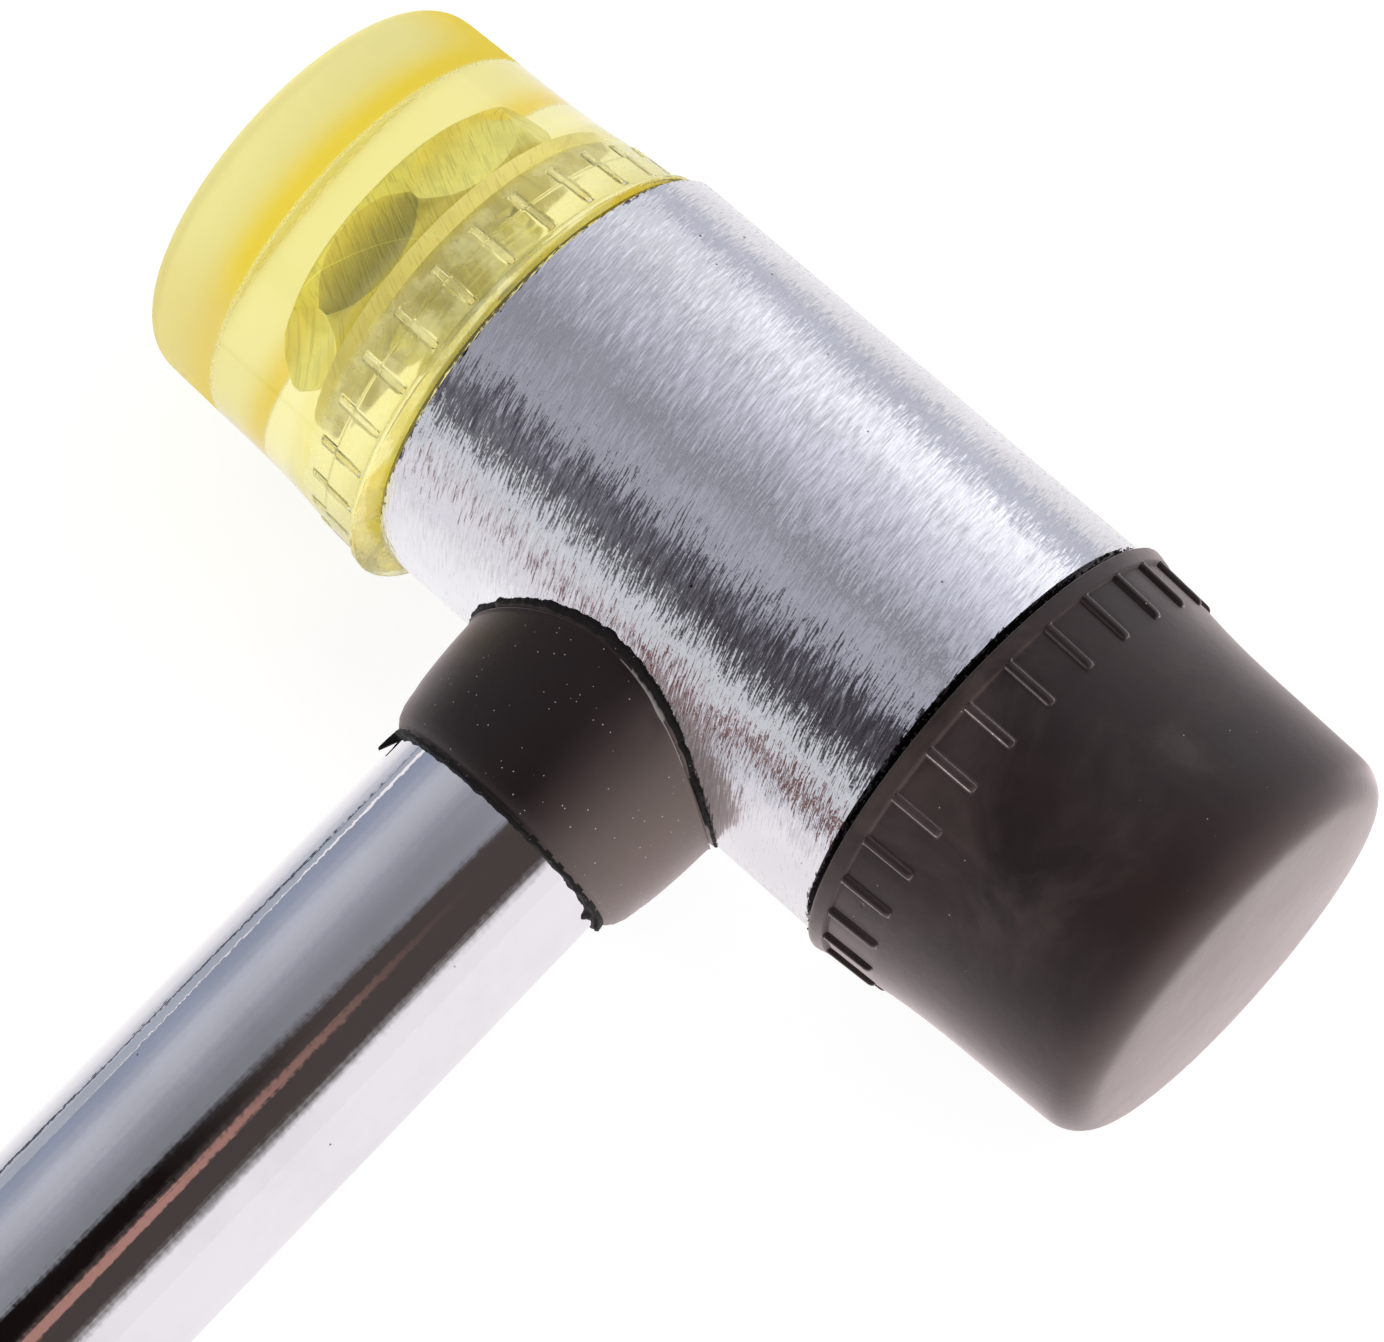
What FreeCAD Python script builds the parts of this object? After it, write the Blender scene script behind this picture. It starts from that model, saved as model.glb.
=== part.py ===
"""Double-faced mallet: a steel barrel with two screw-on faces, on a tube handle with a rubber grip.

Everything is drawn about the centre of the barrel: X runs along the barrel, towards the black face,
and the handle runs towards -Y. place() then moves each piece into the row's frame, where the mallet
lies on its side with Z = 0 under the rims of its faces.
"""
import FreeCAD, Part
import math
import os

V = FreeCAD.Vector

# --- driving dimensions, in millimetres -------------------------------------------------------
BARREL_R = 15.0            # the nominal size: a 30 mm mallet
BARREL_LENGTH = 36.4
BARREL_WALL = 2.0
BARREL_EDGE = 0.4          # chamfer on the barrel's end edges
PLUG_LENGTH = 8.0

TUBE_R = 8.0
TUBE_WALL = 1.2
TUBE_END = 226.0           # the tube's free end, from the barrel's axis
END_PLUG_DEPTH = 8.0
END_PLUG_RIM = 1.5
HANDLE_REACH = 247.0       # the grip's end, from the barrel's axis

FACE_LENGTH = 20.5         # base to crown
FACE_R = 14.15             # at the striking end
FACE_WAIST_R = 14.4        # where the flared base begins
FACE_WAIST_AT = 9.5
BAND_R = 15.1              # the ribbed band at the base
BAND_END_R = 14.85
BAND_LENGTH = 5.0
FLANGE_R = 15.65
FLANGE_THICK = 0.5
FACE_EDGE_R = 2.4
FACE_CROWN = 0.8
CLEAR_FACE_OFFSET = 1.1    # the clear face is moulded off its bolt's axis by this much
RIB_COUNT = 28
RIB_START = 1.2
RIB_LENGTH = 3.5
RIB_WIDTH = 0.55
RIB_HEIGHT = 0.42

BOLT_R = 4.0               # M8
BOLT_RUNNING_GAP = 0.05
BOLT_REACH = 10.0          # thread that stands out of the face
BOLT_HEAD_FLATS = 13.0
BOLT_HEAD_HEIGHT = 5.3
BOLT_HEAD_AT = 7.6         # underside of the head, from the face's base
HEAD_WASHER_R = 8.0
HEAD_WASHER_THICK = 1.2
SEAT_WASHER_R = 12.0
SEAT_WASHER_HOLE_R = 4.2
SEAT_WASHER_THICK = 0.25

COLLAR_RIM_AT = 23.4       # the collar's lower rim, from the barrel's axis
COLLAR_RIM_R = 8.4
COLLAR_RIM_FLARE = 0.25
COLLAR_SHOULDER_R = 9.4
COLLAR_SHOULDER_AT = 20.8
COLLAR_TOP_R = 10.1
COLLAR_TOP_AT = 14.8
COLLAR_LIP = 0.12          # the thin edge that lies on the barrel

GRIP_LENGTH = 106.0
GRIP_RING = 4.4            # the bevelled ring at the grip's front
GRIP_RING_R = 11.8
GRIP_NECK_R = 10.4
GRIP_PALM_R = 12.6
GRIP_PALM_FROM = 22.0      # these distances run from the grip's front
GRIP_PALM_TO = 58.0
GRIP_WAIST_R = 11.2
GRIP_WAIST_FROM = 72.0
GRIP_WAIST_TO = 86.0
GRIP_GROOVES = 4
GRIP_GROOVE_DEPTH = 0.6
GRIP_BELL_R = 13.5
GRIP_BELL_LENGTH = 13.0
GRIP_END_ROUND = 4.0
GRIP_FLUTES = 12
FLUTE_R = 2.2
FLUTE_DEPTH = 0.9
FLUTE_FROM = 10.0
FLUTE_LENGTH = 60.0
HANG_HOLE_R = 3.0
HANG_HOLE_FROM_END = 9.0
HANG_FLAT_HALF = 9.0       # half the thickness left across the hang hole
HANG_PAD_R = 5.2           # the sunk flat round each mouth of the hole

# --- the row's frame --------------------------------------------------------------------------
HEAD_Y = (HANDLE_REACH + FLANGE_R) / 2 - FLANGE_R
HEAD_Z = FLANGE_R
BASE_AT = BARREL_LENGTH / 2 + SEAT_WASHER_THICK


def place(shape):
    """Move a piece from the barrel's centre to the row's frame."""
    moved = shape.copy()
    moved.translate(V(0, HEAD_Y, HEAD_Z))
    return moved


def to_side(shape, side):
    """Put a piece drawn from its base towards +X on the black (+1) or the clear (-1) side."""
    moved = shape.copy()
    if side < 0:
        moved.rotate(V(0, 0, 0), V(0, 0, 1), 180)
    moved.translate(V(side * BASE_AT, 0, 0))
    return moved


def line(a, b):
    return Part.LineSegment(V(*a, 0), V(*b, 0)).toShape()


def arc(a, through, b):
    return Part.Arc(V(*a, 0), V(*through, 0), V(*b, 0)).toShape()


def revolved(edges, axis):
    """Turn a closed outline in the XY plane about the X or the Y axis."""
    return Part.Face(Part.Wire(edges)).revolve(V(0, 0, 0), axis, 360)


def outline(points):
    return [line(a, b) for a, b in zip(points, points[1:] + points[:1])]


def rod(radius, start, length, axis):
    return Part.makeCylinder(radius, length, axis * start, axis)


ALONG_X = V(1, 0, 0)
ALONG_Y = V(0, 1, 0)
DOWN_HANDLE = V(0, -1, 0)


# --- the barrel and what is fixed in it -------------------------------------------------------
def barrel_shell():
    """The steel tube that is the head's body, with chamfered ends and the handle's hole."""
    half, inside_r = BARREL_LENGTH / 2, BARREL_R - BARREL_WALL
    shell = revolved(outline([
        (-half, inside_r), (-half, BARREL_R - BARREL_EDGE), (BARREL_EDGE - half, BARREL_R),
        (half - BARREL_EDGE, BARREL_R), (half, BARREL_R - BARREL_EDGE), (half, inside_r),
    ]), ALONG_X)
    return shell.cut(rod(TUBE_R, 0, BARREL_R + 1, DOWN_HANDLE))


def side_plug(side):
    """The plug, tapped right through for the face's bolt, with a countersunk mouth."""
    plug = rod(BARREL_R - BARREL_WALL, BARREL_LENGTH / 2 - PLUG_LENGTH, PLUG_LENGTH, ALONG_X)
    bore_r = BOLT_R + BOLT_RUNNING_GAP
    plug = plug.cut(rod(bore_r, 0, BARREL_LENGTH, ALONG_X))
    mouth = Part.makeCone(bore_r, bore_r + 1, 1, V(BARREL_LENGTH / 2 - 1, 0, 0), ALONG_X)
    plug = plug.cut(mouth)
    if side < 0:
        plug.rotate(V(0, 0, 0), V(0, 0, 1), 180)
    return plug


def handle_tube():
    """The tube runs through the barrel's wall and is cut to seat on the far wall inside."""
    inside_r = BARREL_R - BARREL_WALL
    tube = rod(TUBE_R, -inside_r, TUBE_END + inside_r, DOWN_HANDLE)
    tube = tube.cut(rod(TUBE_R - TUBE_WALL, -inside_r - 1, TUBE_END + inside_r + 2, DOWN_HANDLE))
    far_side = Part.makeBox(4 * TUBE_R, inside_r + 1, 4 * TUBE_R, V(-2 * TUBE_R, 0, -2 * TUBE_R))
    far_side = far_side.cut(rod(inside_r, -2 * TUBE_R, 4 * TUBE_R, ALONG_X))
    return tube.cut(far_side)


def neck_collar():
    """A moulded rubber collar: tapered skirt, round shoulder, thin rim, and a saddle lip."""
    rim, shoulder, top = -COLLAR_RIM_AT, -COLLAR_SHOULDER_AT, -BARREL_R / 2
    rim_r = COLLAR_RIM_R + COLLAR_RIM_FLARE
    throat = (COLLAR_RIM_R, rim + 2 * COLLAR_RIM_FLARE)
    turn = ((COLLAR_RIM_R + COLLAR_SHOULDER_R) / 2 + 0.2, (throat[1] + shoulder) / 2 - 0.35)
    skirt = [
        line((TUBE_R, top), (TUBE_R, rim)),
        line((TUBE_R, rim), (rim_r, rim)),
        line((rim_r, rim), throat),
        arc(throat, turn, (COLLAR_SHOULDER_R, shoulder)),
        line((COLLAR_SHOULDER_R, shoulder), (COLLAR_TOP_R, -COLLAR_TOP_AT)),
        line((COLLAR_TOP_R, -COLLAR_TOP_AT), (COLLAR_TOP_R, top)),
        line((COLLAR_TOP_R, top), (TUBE_R, top)),
    ]
    lip = rod(COLLAR_TOP_R + COLLAR_LIP, -top, BARREL_R, DOWN_HANDLE)
    lip = lip.cut(rod(TUBE_R, -top, BARREL_R, DOWN_HANDLE))
    lip = lip.common(rod(BARREL_R + COLLAR_LIP, -BARREL_R, 2 * BARREL_R, ALONG_X))
    collar = revolved(skirt, ALONG_Y).fuse(lip)
    return collar.cut(rod(BARREL_R, -BARREL_R, 2 * BARREL_R, ALONG_X)).removeSplitter()


# --- the handle's end -------------------------------------------------------------------------
def tube_end_plug():
    """A bung with a rim, pushed into the tube so that its edge can't cut the grip."""
    stem = rod(TUBE_R - TUBE_WALL, TUBE_END - END_PLUG_DEPTH, END_PLUG_DEPTH, DOWN_HANDLE)
    return stem.fuse(rod(TUBE_R, TUBE_END, END_PLUG_RIM, DOWN_HANDLE)).removeSplitter()


def grip_outline():
    """Half the grip's section, from its front ring to its rounded end; x is the radius."""
    front, end = GRIP_LENGTH - HANDLE_REACH, -HANDLE_REACH
    neck, bell = front - GRIP_RING, end + GRIP_BELL_LENGTH
    dome = end + GRIP_END_ROUND
    turn = GRIP_END_ROUND * (1 - math.sqrt(0.5))
    bevel = GRIP_RING_R - GRIP_NECK_R
    side = [(0, front), (GRIP_NECK_R, front), (GRIP_RING_R, front - bevel),
            (GRIP_RING_R, neck + bevel), (GRIP_NECK_R, neck),
            (GRIP_PALM_R, front - GRIP_PALM_FROM), (GRIP_PALM_R, front - GRIP_PALM_TO),
            (GRIP_WAIST_R, front - GRIP_WAIST_FROM)]
    pitch = (GRIP_WAIST_TO - GRIP_WAIST_FROM) / GRIP_GROOVES
    for k in range(GRIP_GROOVES):
        start = front - GRIP_WAIST_FROM - k * pitch
        side += [(GRIP_WAIST_R, start - pitch * 0.45),
                 (GRIP_WAIST_R - GRIP_GROOVE_DEPTH, start - pitch * 0.6),
                 (GRIP_WAIST_R - GRIP_GROOVE_DEPTH, start - pitch * 0.85),
                 (GRIP_WAIST_R, start - pitch)]
    side += [(GRIP_BELL_R, bell), (GRIP_BELL_R, dome)]
    return [line(p, q) for p, q in zip(side, side[1:])] + [
        arc((GRIP_BELL_R, dome), (GRIP_BELL_R - turn, end + turn),
            (GRIP_BELL_R - GRIP_END_ROUND, end)),
        line((GRIP_BELL_R - GRIP_END_ROUND, end), (0, end)),
        line((0, end), (0, front)),
    ]


def grip_flutes():
    """Long hollows cut into the palm, which run out on the tapers at either end of it."""
    flute = rod(FLUTE_R, HANDLE_REACH - GRIP_LENGTH + FLUTE_FROM, FLUTE_LENGTH, DOWN_HANDLE)
    flute.translate(V(GRIP_PALM_R + FLUTE_R - FLUTE_DEPTH, 0, 0))
    for k in range(GRIP_FLUTES):
        turned = flute.copy()
        turned.rotate(V(0, 0, 0), ALONG_Y, 360 * (k + 0.5) / GRIP_FLUTES)
        yield turned


def grip_sleeve():
    """Rubber grip: front ring, fluted palm, ringed waist, bell end with a hang hole."""
    grip = revolved(grip_outline(), ALONG_Y).cut(list(grip_flutes()))
    grip = grip.cut(rod(TUBE_R, 0, TUBE_END + END_PLUG_RIM, DOWN_HANDLE))
    hole_y = HANG_HOLE_FROM_END - HANDLE_REACH
    hole = rod(HANG_HOLE_R, -BARREL_R, 2 * BARREL_R, ALONG_X)
    for side in (-1, 1):
        hole = hole.fuse(rod(HANG_PAD_R, HANG_FLAT_HALF, BARREL_R, ALONG_X * side))
    hole.translate(V(0, hole_y, 0))
    return grip.cut(hole)


# --- the faces, drawn from their base towards +X ----------------------------------------------
def face_bolt():
    """Hexagon bolt: chamfered head, plain M8 shank with a chamfered tip."""
    start, head = -BOLT_REACH - SEAT_WASHER_THICK, BOLT_HEAD_AT
    corner_r = BOLT_HEAD_FLATS / 2 / math.cos(math.pi / 6)
    corners = [V(head, corner_r * math.sin(a), corner_r * math.cos(a))
               for a in (math.radians(30 + 60 * k) for k in range(6))]
    hexagon = Part.Face(Part.makePolygon(corners + corners[:1]))
    block = hexagon.extrude(V(BOLT_HEAD_HEIGHT, 0, 0))
    top = head + BOLT_HEAD_HEIGHT
    top_r = BOLT_HEAD_FLATS / 2 - 0.2
    chamfer_depth = (corner_r - top_r) * math.tan(math.radians(30))
    block = block.common(revolved(outline([
        (head, 0), (head, corner_r), (top - chamfer_depth, corner_r), (top, top_r), (top, 0),
    ]), ALONG_X))
    shank = revolved(outline([
        (start, 0), (start, BOLT_R - 1), (start + 1, BOLT_R), (head, BOLT_R), (head, 0)]), ALONG_X)
    return block.fuse(shank).removeSplitter()


def head_washer():
    at = BOLT_HEAD_AT - HEAD_WASHER_THICK
    return rod(HEAD_WASHER_R, at, HEAD_WASHER_THICK, ALONG_X).cut(
        rod(BOLT_R, at, HEAD_WASHER_THICK, ALONG_X))


def edge_and_crown():
    """The striking end's outline: a round edge that runs tangent into a shallow domed crown."""
    dome_r = (FACE_R ** 2 + FACE_CROWN ** 2) / (2 * FACE_CROWN)
    dome_at = FACE_LENGTH - dome_r
    edge_centre_r = FACE_R - FACE_EDGE_R
    reach = dome_r - FACE_EDGE_R
    edge_at = dome_at + math.sqrt(reach ** 2 - edge_centre_r ** 2)
    slope = math.asin(edge_centre_r / reach)

    def on_edge(angle):
        return (edge_at + FACE_EDGE_R * math.cos(angle),
                edge_centre_r + FACE_EDGE_R * math.sin(angle))

    def on_dome(angle):
        return dome_at + dome_r * math.cos(angle), dome_r * math.sin(angle)

    wall_end, meet = on_edge(math.pi / 2), on_edge(slope)
    return wall_end, [arc(wall_end, on_edge((slope + math.pi / 2) / 2), meet),
                      arc(meet, on_dome(slope / 2), on_dome(0))]


def face_blank():
    """The moulded outline: flange, ribbed band, flare, drafted wall, round edge, crown."""
    wall_end, striking_end = edge_and_crown()
    side = [(0, 0), (0, FLANGE_R), (FLANGE_THICK, FLANGE_R), (FLANGE_THICK + 0.2, BAND_R),
            (BAND_LENGTH, BAND_END_R), (FACE_WAIST_AT, FACE_WAIST_R), wall_end]
    edges = [line(a, b) for a, b in zip(side, side[1:])]
    return revolved(edges + striking_end + [line((FACE_LENGTH, 0), (0, 0))], ALONG_X)


def face_ribs():
    """One rib follows the band's taper; the others are turned copies of it."""
    slope = (BAND_END_R - BAND_R) / BAND_LENGTH
    low, rib_end = BAND_END_R - 1, RIB_START + RIB_LENGTH
    near_top = BAND_R + slope * RIB_START + RIB_HEIGHT
    far_top = BAND_R + slope * rib_end + RIB_HEIGHT * 0.8
    side = [V(RIB_START, low, 0), V(RIB_START, near_top, 0), V(rib_end, far_top, 0),
            V(rib_end, low, 0)]
    rib = Part.Face(Part.makePolygon(side + side[:1])).extrude(V(0, 0, RIB_WIDTH))
    rib.translate(V(0, 0, -RIB_WIDTH / 2))
    for k in range(RIB_COUNT):
        turned = rib.copy()
        turned.rotate(V(0, 0, 0), ALONG_X, 360 * (k + 0.5) / RIB_COUNT)
        yield turned


def face(offset):
    """A face moulded round its bolt and washer, its outline offset across the bolt's axis."""
    blank = face_blank().multiFuse(list(face_ribs())).removeSplitter()
    blank.translate(V(0, offset, 0))
    return blank.cut(face_bolt()).cut(head_washer())


def seat_washer():
    return rod(SEAT_WASHER_R, -SEAT_WASHER_THICK, SEAT_WASHER_THICK, ALONG_X).cut(
        rod(SEAT_WASHER_HOLE_R, -SEAT_WASHER_THICK, SEAT_WASHER_THICK, ALONG_X))


def pieces():
    yield "barrel_shell", barrel_shell()
    yield "handle_tube", handle_tube()
    yield "neck_collar", neck_collar()
    yield "grip_sleeve", grip_sleeve()
    yield "tube_end_plug", tube_end_plug()
    for name, side, offset in (("clear", -1, CLEAR_FACE_OFFSET), ("black", 1, 0)):
        yield name + "_side_plug", side_plug(side)
        yield name + "_seat_washer", to_side(seat_washer(), side)
        yield name + "_face", to_side(face(offset), side)
        yield name + "_face_bolt", to_side(face_bolt(), side)
        yield name + "_head_washer", to_side(head_washer(), side)


os.makedirs("parts", exist_ok=True)
for node, shape in pieces():
    shape = place(shape)
    box = shape.optimalBoundingBox()
    print(f"{node}: {len(shape.Solids)} solid, {shape.Volume:.0f} mm3, valid {shape.isValid()}, "
          f"x {box.XMin:.2f}..{box.XMax:.2f} y {box.YMin:.2f}..{box.YMax:.2f} "
          f"z {box.ZMin:.2f}..{box.ZMax:.2f}")
    shape.exportStep(f"parts/{node}.step")
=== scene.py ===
"""Finishes, moulded faces, collar, grip, bolts and studio for a mallet with two screw-on faces.

Sizes are in metres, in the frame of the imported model: X runs along the head towards the black face,
+Y points away from the handle, and the mallet lies on Z = 0.
"""

import math
import random
from collections import namedtuple

import bmesh
import bpy
from bpy.props import FloatProperty, FloatVectorProperty, IntProperty, PointerProperty
from mathutils import Matrix, Vector, noise


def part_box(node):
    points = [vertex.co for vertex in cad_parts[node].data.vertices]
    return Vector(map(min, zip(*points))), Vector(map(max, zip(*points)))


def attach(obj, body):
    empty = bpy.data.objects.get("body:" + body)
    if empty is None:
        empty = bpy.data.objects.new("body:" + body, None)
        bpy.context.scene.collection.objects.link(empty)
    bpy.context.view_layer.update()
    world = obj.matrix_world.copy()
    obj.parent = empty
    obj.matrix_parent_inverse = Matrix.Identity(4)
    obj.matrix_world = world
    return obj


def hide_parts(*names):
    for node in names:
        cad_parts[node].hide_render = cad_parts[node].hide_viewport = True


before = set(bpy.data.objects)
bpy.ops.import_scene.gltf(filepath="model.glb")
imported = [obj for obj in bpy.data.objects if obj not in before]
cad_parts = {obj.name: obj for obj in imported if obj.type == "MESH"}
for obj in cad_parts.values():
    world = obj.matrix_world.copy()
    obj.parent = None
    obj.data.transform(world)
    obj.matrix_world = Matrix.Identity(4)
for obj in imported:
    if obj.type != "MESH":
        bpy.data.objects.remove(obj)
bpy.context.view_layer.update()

bl_info = {
    "name": "Screw-face mallet",
    "version": (1, 0, 0),
    "blender": (4, 5, 0),
    "location": "View3D > Sidebar > Mallet",
    "description": "Builds the faces, collar, grip, bolts, finishes and studio of a mallet",
    "category": "Object",
}

MM = 0.001
ALONG_HEAD = Vector((1, 0, 0))
BARREL_LOW, BARREL_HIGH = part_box("barrel_shell")
HEAD = (BARREL_LOW + BARREL_HIGH) / 2
BARREL_R = (BARREL_HIGH.z - BARREL_LOW.z) / 2
TUBE_LOW, TUBE_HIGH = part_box("handle_tube")
TUBE_R = (TUBE_HIGH.x - TUBE_LOW.x) / 2
COLLAR_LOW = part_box("neck_collar")[0]
FACE_LOW, FACE_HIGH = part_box("black_face")
FACE_BASE = FACE_LOW.x                   # distance of both faces' bases from X = 0
FACE_LENGTH = FACE_HIGH.x - FACE_BASE
FLANGE_R = (FACE_HIGH.z - FACE_LOW.z) / 2
CLEAR_LOW, CLEAR_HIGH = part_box("clear_face")
CLEAR_CENTRE_Y = (CLEAR_LOW.y + CLEAR_HIGH.y) / 2
TINY = 1e-6
WELD = 1e-7
WHITE = (1.0, 1.0, 1.0)
BLACK = (0.0, 0.0, 0.0)


# --- settings ---------------------------------------------------------------------------------
def length(name, description, default):
    return FloatProperty(name=name, description=description, default=default, min=0,
                         unit="LENGTH", subtype="DISTANCE", precision=5)


def colour(name, description, default):
    return FloatVectorProperty(name=name, description=description, default=default, size=3,
                               min=0, max=1, subtype="COLOR")


def amount(name, description, default, most=1.0):
    return FloatProperty(name=name, description=description, default=default, min=0, max=most,
                         subtype="FACTOR")


def angle(name, description, degrees):
    return FloatProperty(name=name, description=description, default=math.radians(degrees),
                         subtype="ANGLE", unit="ROTATION")


def number(name, description, default, least, most):
    return FloatProperty(name=name, description=description, default=default, min=least, max=most)


def power(name, description, default):
    return FloatProperty(name=name, description=description, default=default, min=0, max=100,
                         unit="POWER")


def count(name, description, default, least, most):
    return IntProperty(name=name, description=description, default=default, min=least, max=most)


class MalletFaceSettings(bpy.types.PropertyGroup):
    """Sizes and colours of the two moulded faces."""

    rib_count: count("Ribs", "Ribs round the base of a face", 28, 8, 40)
    rib_width: length("Rib width", "Width of one rib", 0.5 * MM)
    rib_height: length("Rib height", "How far a rib stands out of the band", 0.36 * MM)
    rib_length: length("Rib length", "Length of one rib", 3.5 * MM)
    band_r: length("Band radius", "Radius of the ribbed band beside the flange", 15.1 * MM)
    waist_r: length("Waist radius", "Radius where the flared base begins", 14.4 * MM)
    end_r: length("End radius", "Radius at the striking end", 14.15 * MM)
    clear_edge_r: length("Clear edge", "Rounding of the clear striking edge", 1.9 * MM)
    black_edge_r: length("Black edge", "Rounding of the black striking edge", 2.4 * MM)
    clear_crown: length("Clear crown", "How far the clear striking end is domed", 0.5 * MM)
    black_crown: length("Black crown", "How far the black striking end is domed", 0.8 * MM)
    clear_tint: colour("Clear tint", "Colour that the clear plastic lets through",
                       (1.0, 0.93, 0.0))
    clear_density: number("Clear density", "How fast the plastic colours", 25.0, 0, 400)
    black_rubber: colour("Black rubber", "Colour of the black face", (0.0070, 0.0038, 0.0038))


class MalletMetalSettings(bpy.types.PropertyGroup):
    """Finish of the plated and plain metal."""

    chrome: colour("Chrome", "Colour of the plating", (0.93, 0.925, 0.95))
    barrel_roughness: amount("Barrel roughness", "Roughness of the brushed barrel", 0.15)
    stroke_width: length("Stroke width", "Width of one brush stroke", 0.13 * MM)
    stroke_length: length("Stroke length", "Length of one brush stroke", 1.5 * MM)
    stroke_tilt: amount("Stroke tilt", "How strongly the strokes break reflections", 0.62, 3.0)
    tube_roughness: amount("Tube roughness", "Roughness of the mirror-plated tube", 0.035)
    steel: colour("Bolt plating", "Colour of the bolts' yellow plating", (0.90, 0.87, 0.36))
    zinc: colour("Washer plating", "Colour of the washers' yellow plating", (1.0, 0.95, 0.60))
    bolt_flats: length("Bolt head", "Width of the hexagon across its flats", 13.0 * MM)
    bolt_turn: angle("Bolt turn", "How far the hexagon is turned", 25)
    thread_pitch: length("Thread pitch", "Pitch of the bolts' thread", 1.25 * MM)


class MalletRubberSettings(bpy.types.PropertyGroup):
    """Sizes and colour of the collar."""

    collar: colour("Collar rubber", "Colour of the collar", (0.0045, 0.0022, 0.0022))
    shoulder_r: length("Shoulder radius", "Collar's radius at its round shoulder", 9.4 * MM)
    skirt_r: length("Skirt radius", "Collar's radius beside the barrel", 9.9 * MM)
    lip_r: length("Lip radius", "Radius of the thin edge that lies on the barrel", 10.2 * MM)
    rim_r: length("Rim radius", "Collar's radius at its lower rim", 8.45 * MM)
    rim_wear: length("Rim wear", "How ragged the collar's thin edges are", 0.16 * MM)


class MalletGripSettings(bpy.types.PropertyGroup):
    """Sizes and colour of the grip."""

    rubber: colour("Grip rubber", "Colour of the grip", (0.014, 0.013, 0.0135))
    ring_r: length("Ring radius", "Radius of the ring at the grip's front", 11.8 * MM)
    neck_r: length("Neck radius", "Radius behind the ring", 10.4 * MM)
    palm_r: length("Palm radius", "Radius where the palm holds it", 12.6 * MM)
    waist_r: length("Waist radius", "Radius of the ringed waist", 11.2 * MM)
    bell_r: length("Bell radius", "Radius at the grip's end", 13.5 * MM)
    flutes: count("Flutes", "Long hollows round the palm", 12, 4, 24)
    flute_r: length("Flute radius", "Radius of a flute's hollow", 2.2 * MM)
    flute_depth: length("Flute depth", "Depth of a flute in the palm", 0.9 * MM)


class MalletStudioSettings(bpy.types.PropertyGroup):
    """Light, surroundings and camera."""

    light_level: number("Surrounding light", "Plain light from all sides", 0.61, 0, 4)
    lamp_power: power("Lamp power", "Power of the soft lamp above", 3.6)
    side_power: power("Side lamp power", "Power of the lamp at the side", 10.0)
    floor: colour("Floor", "Colour of the floor", (0.92, 0.92, 0.92))
    lens: number("Lens", "Focal length in millimetres", 153.13, 10, 400)
    camera_distance: length("Camera distance", "From the aim point to the camera", 0.3554)
    camera_azimuth: angle("Azimuth", "Camera's direction from +X", -30.08)
    camera_elevation: angle("Elevation", "Camera's height as an angle", 71.34)
    camera_roll: angle("Roll", "Camera's turn about its own axis", -17.27)


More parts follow.
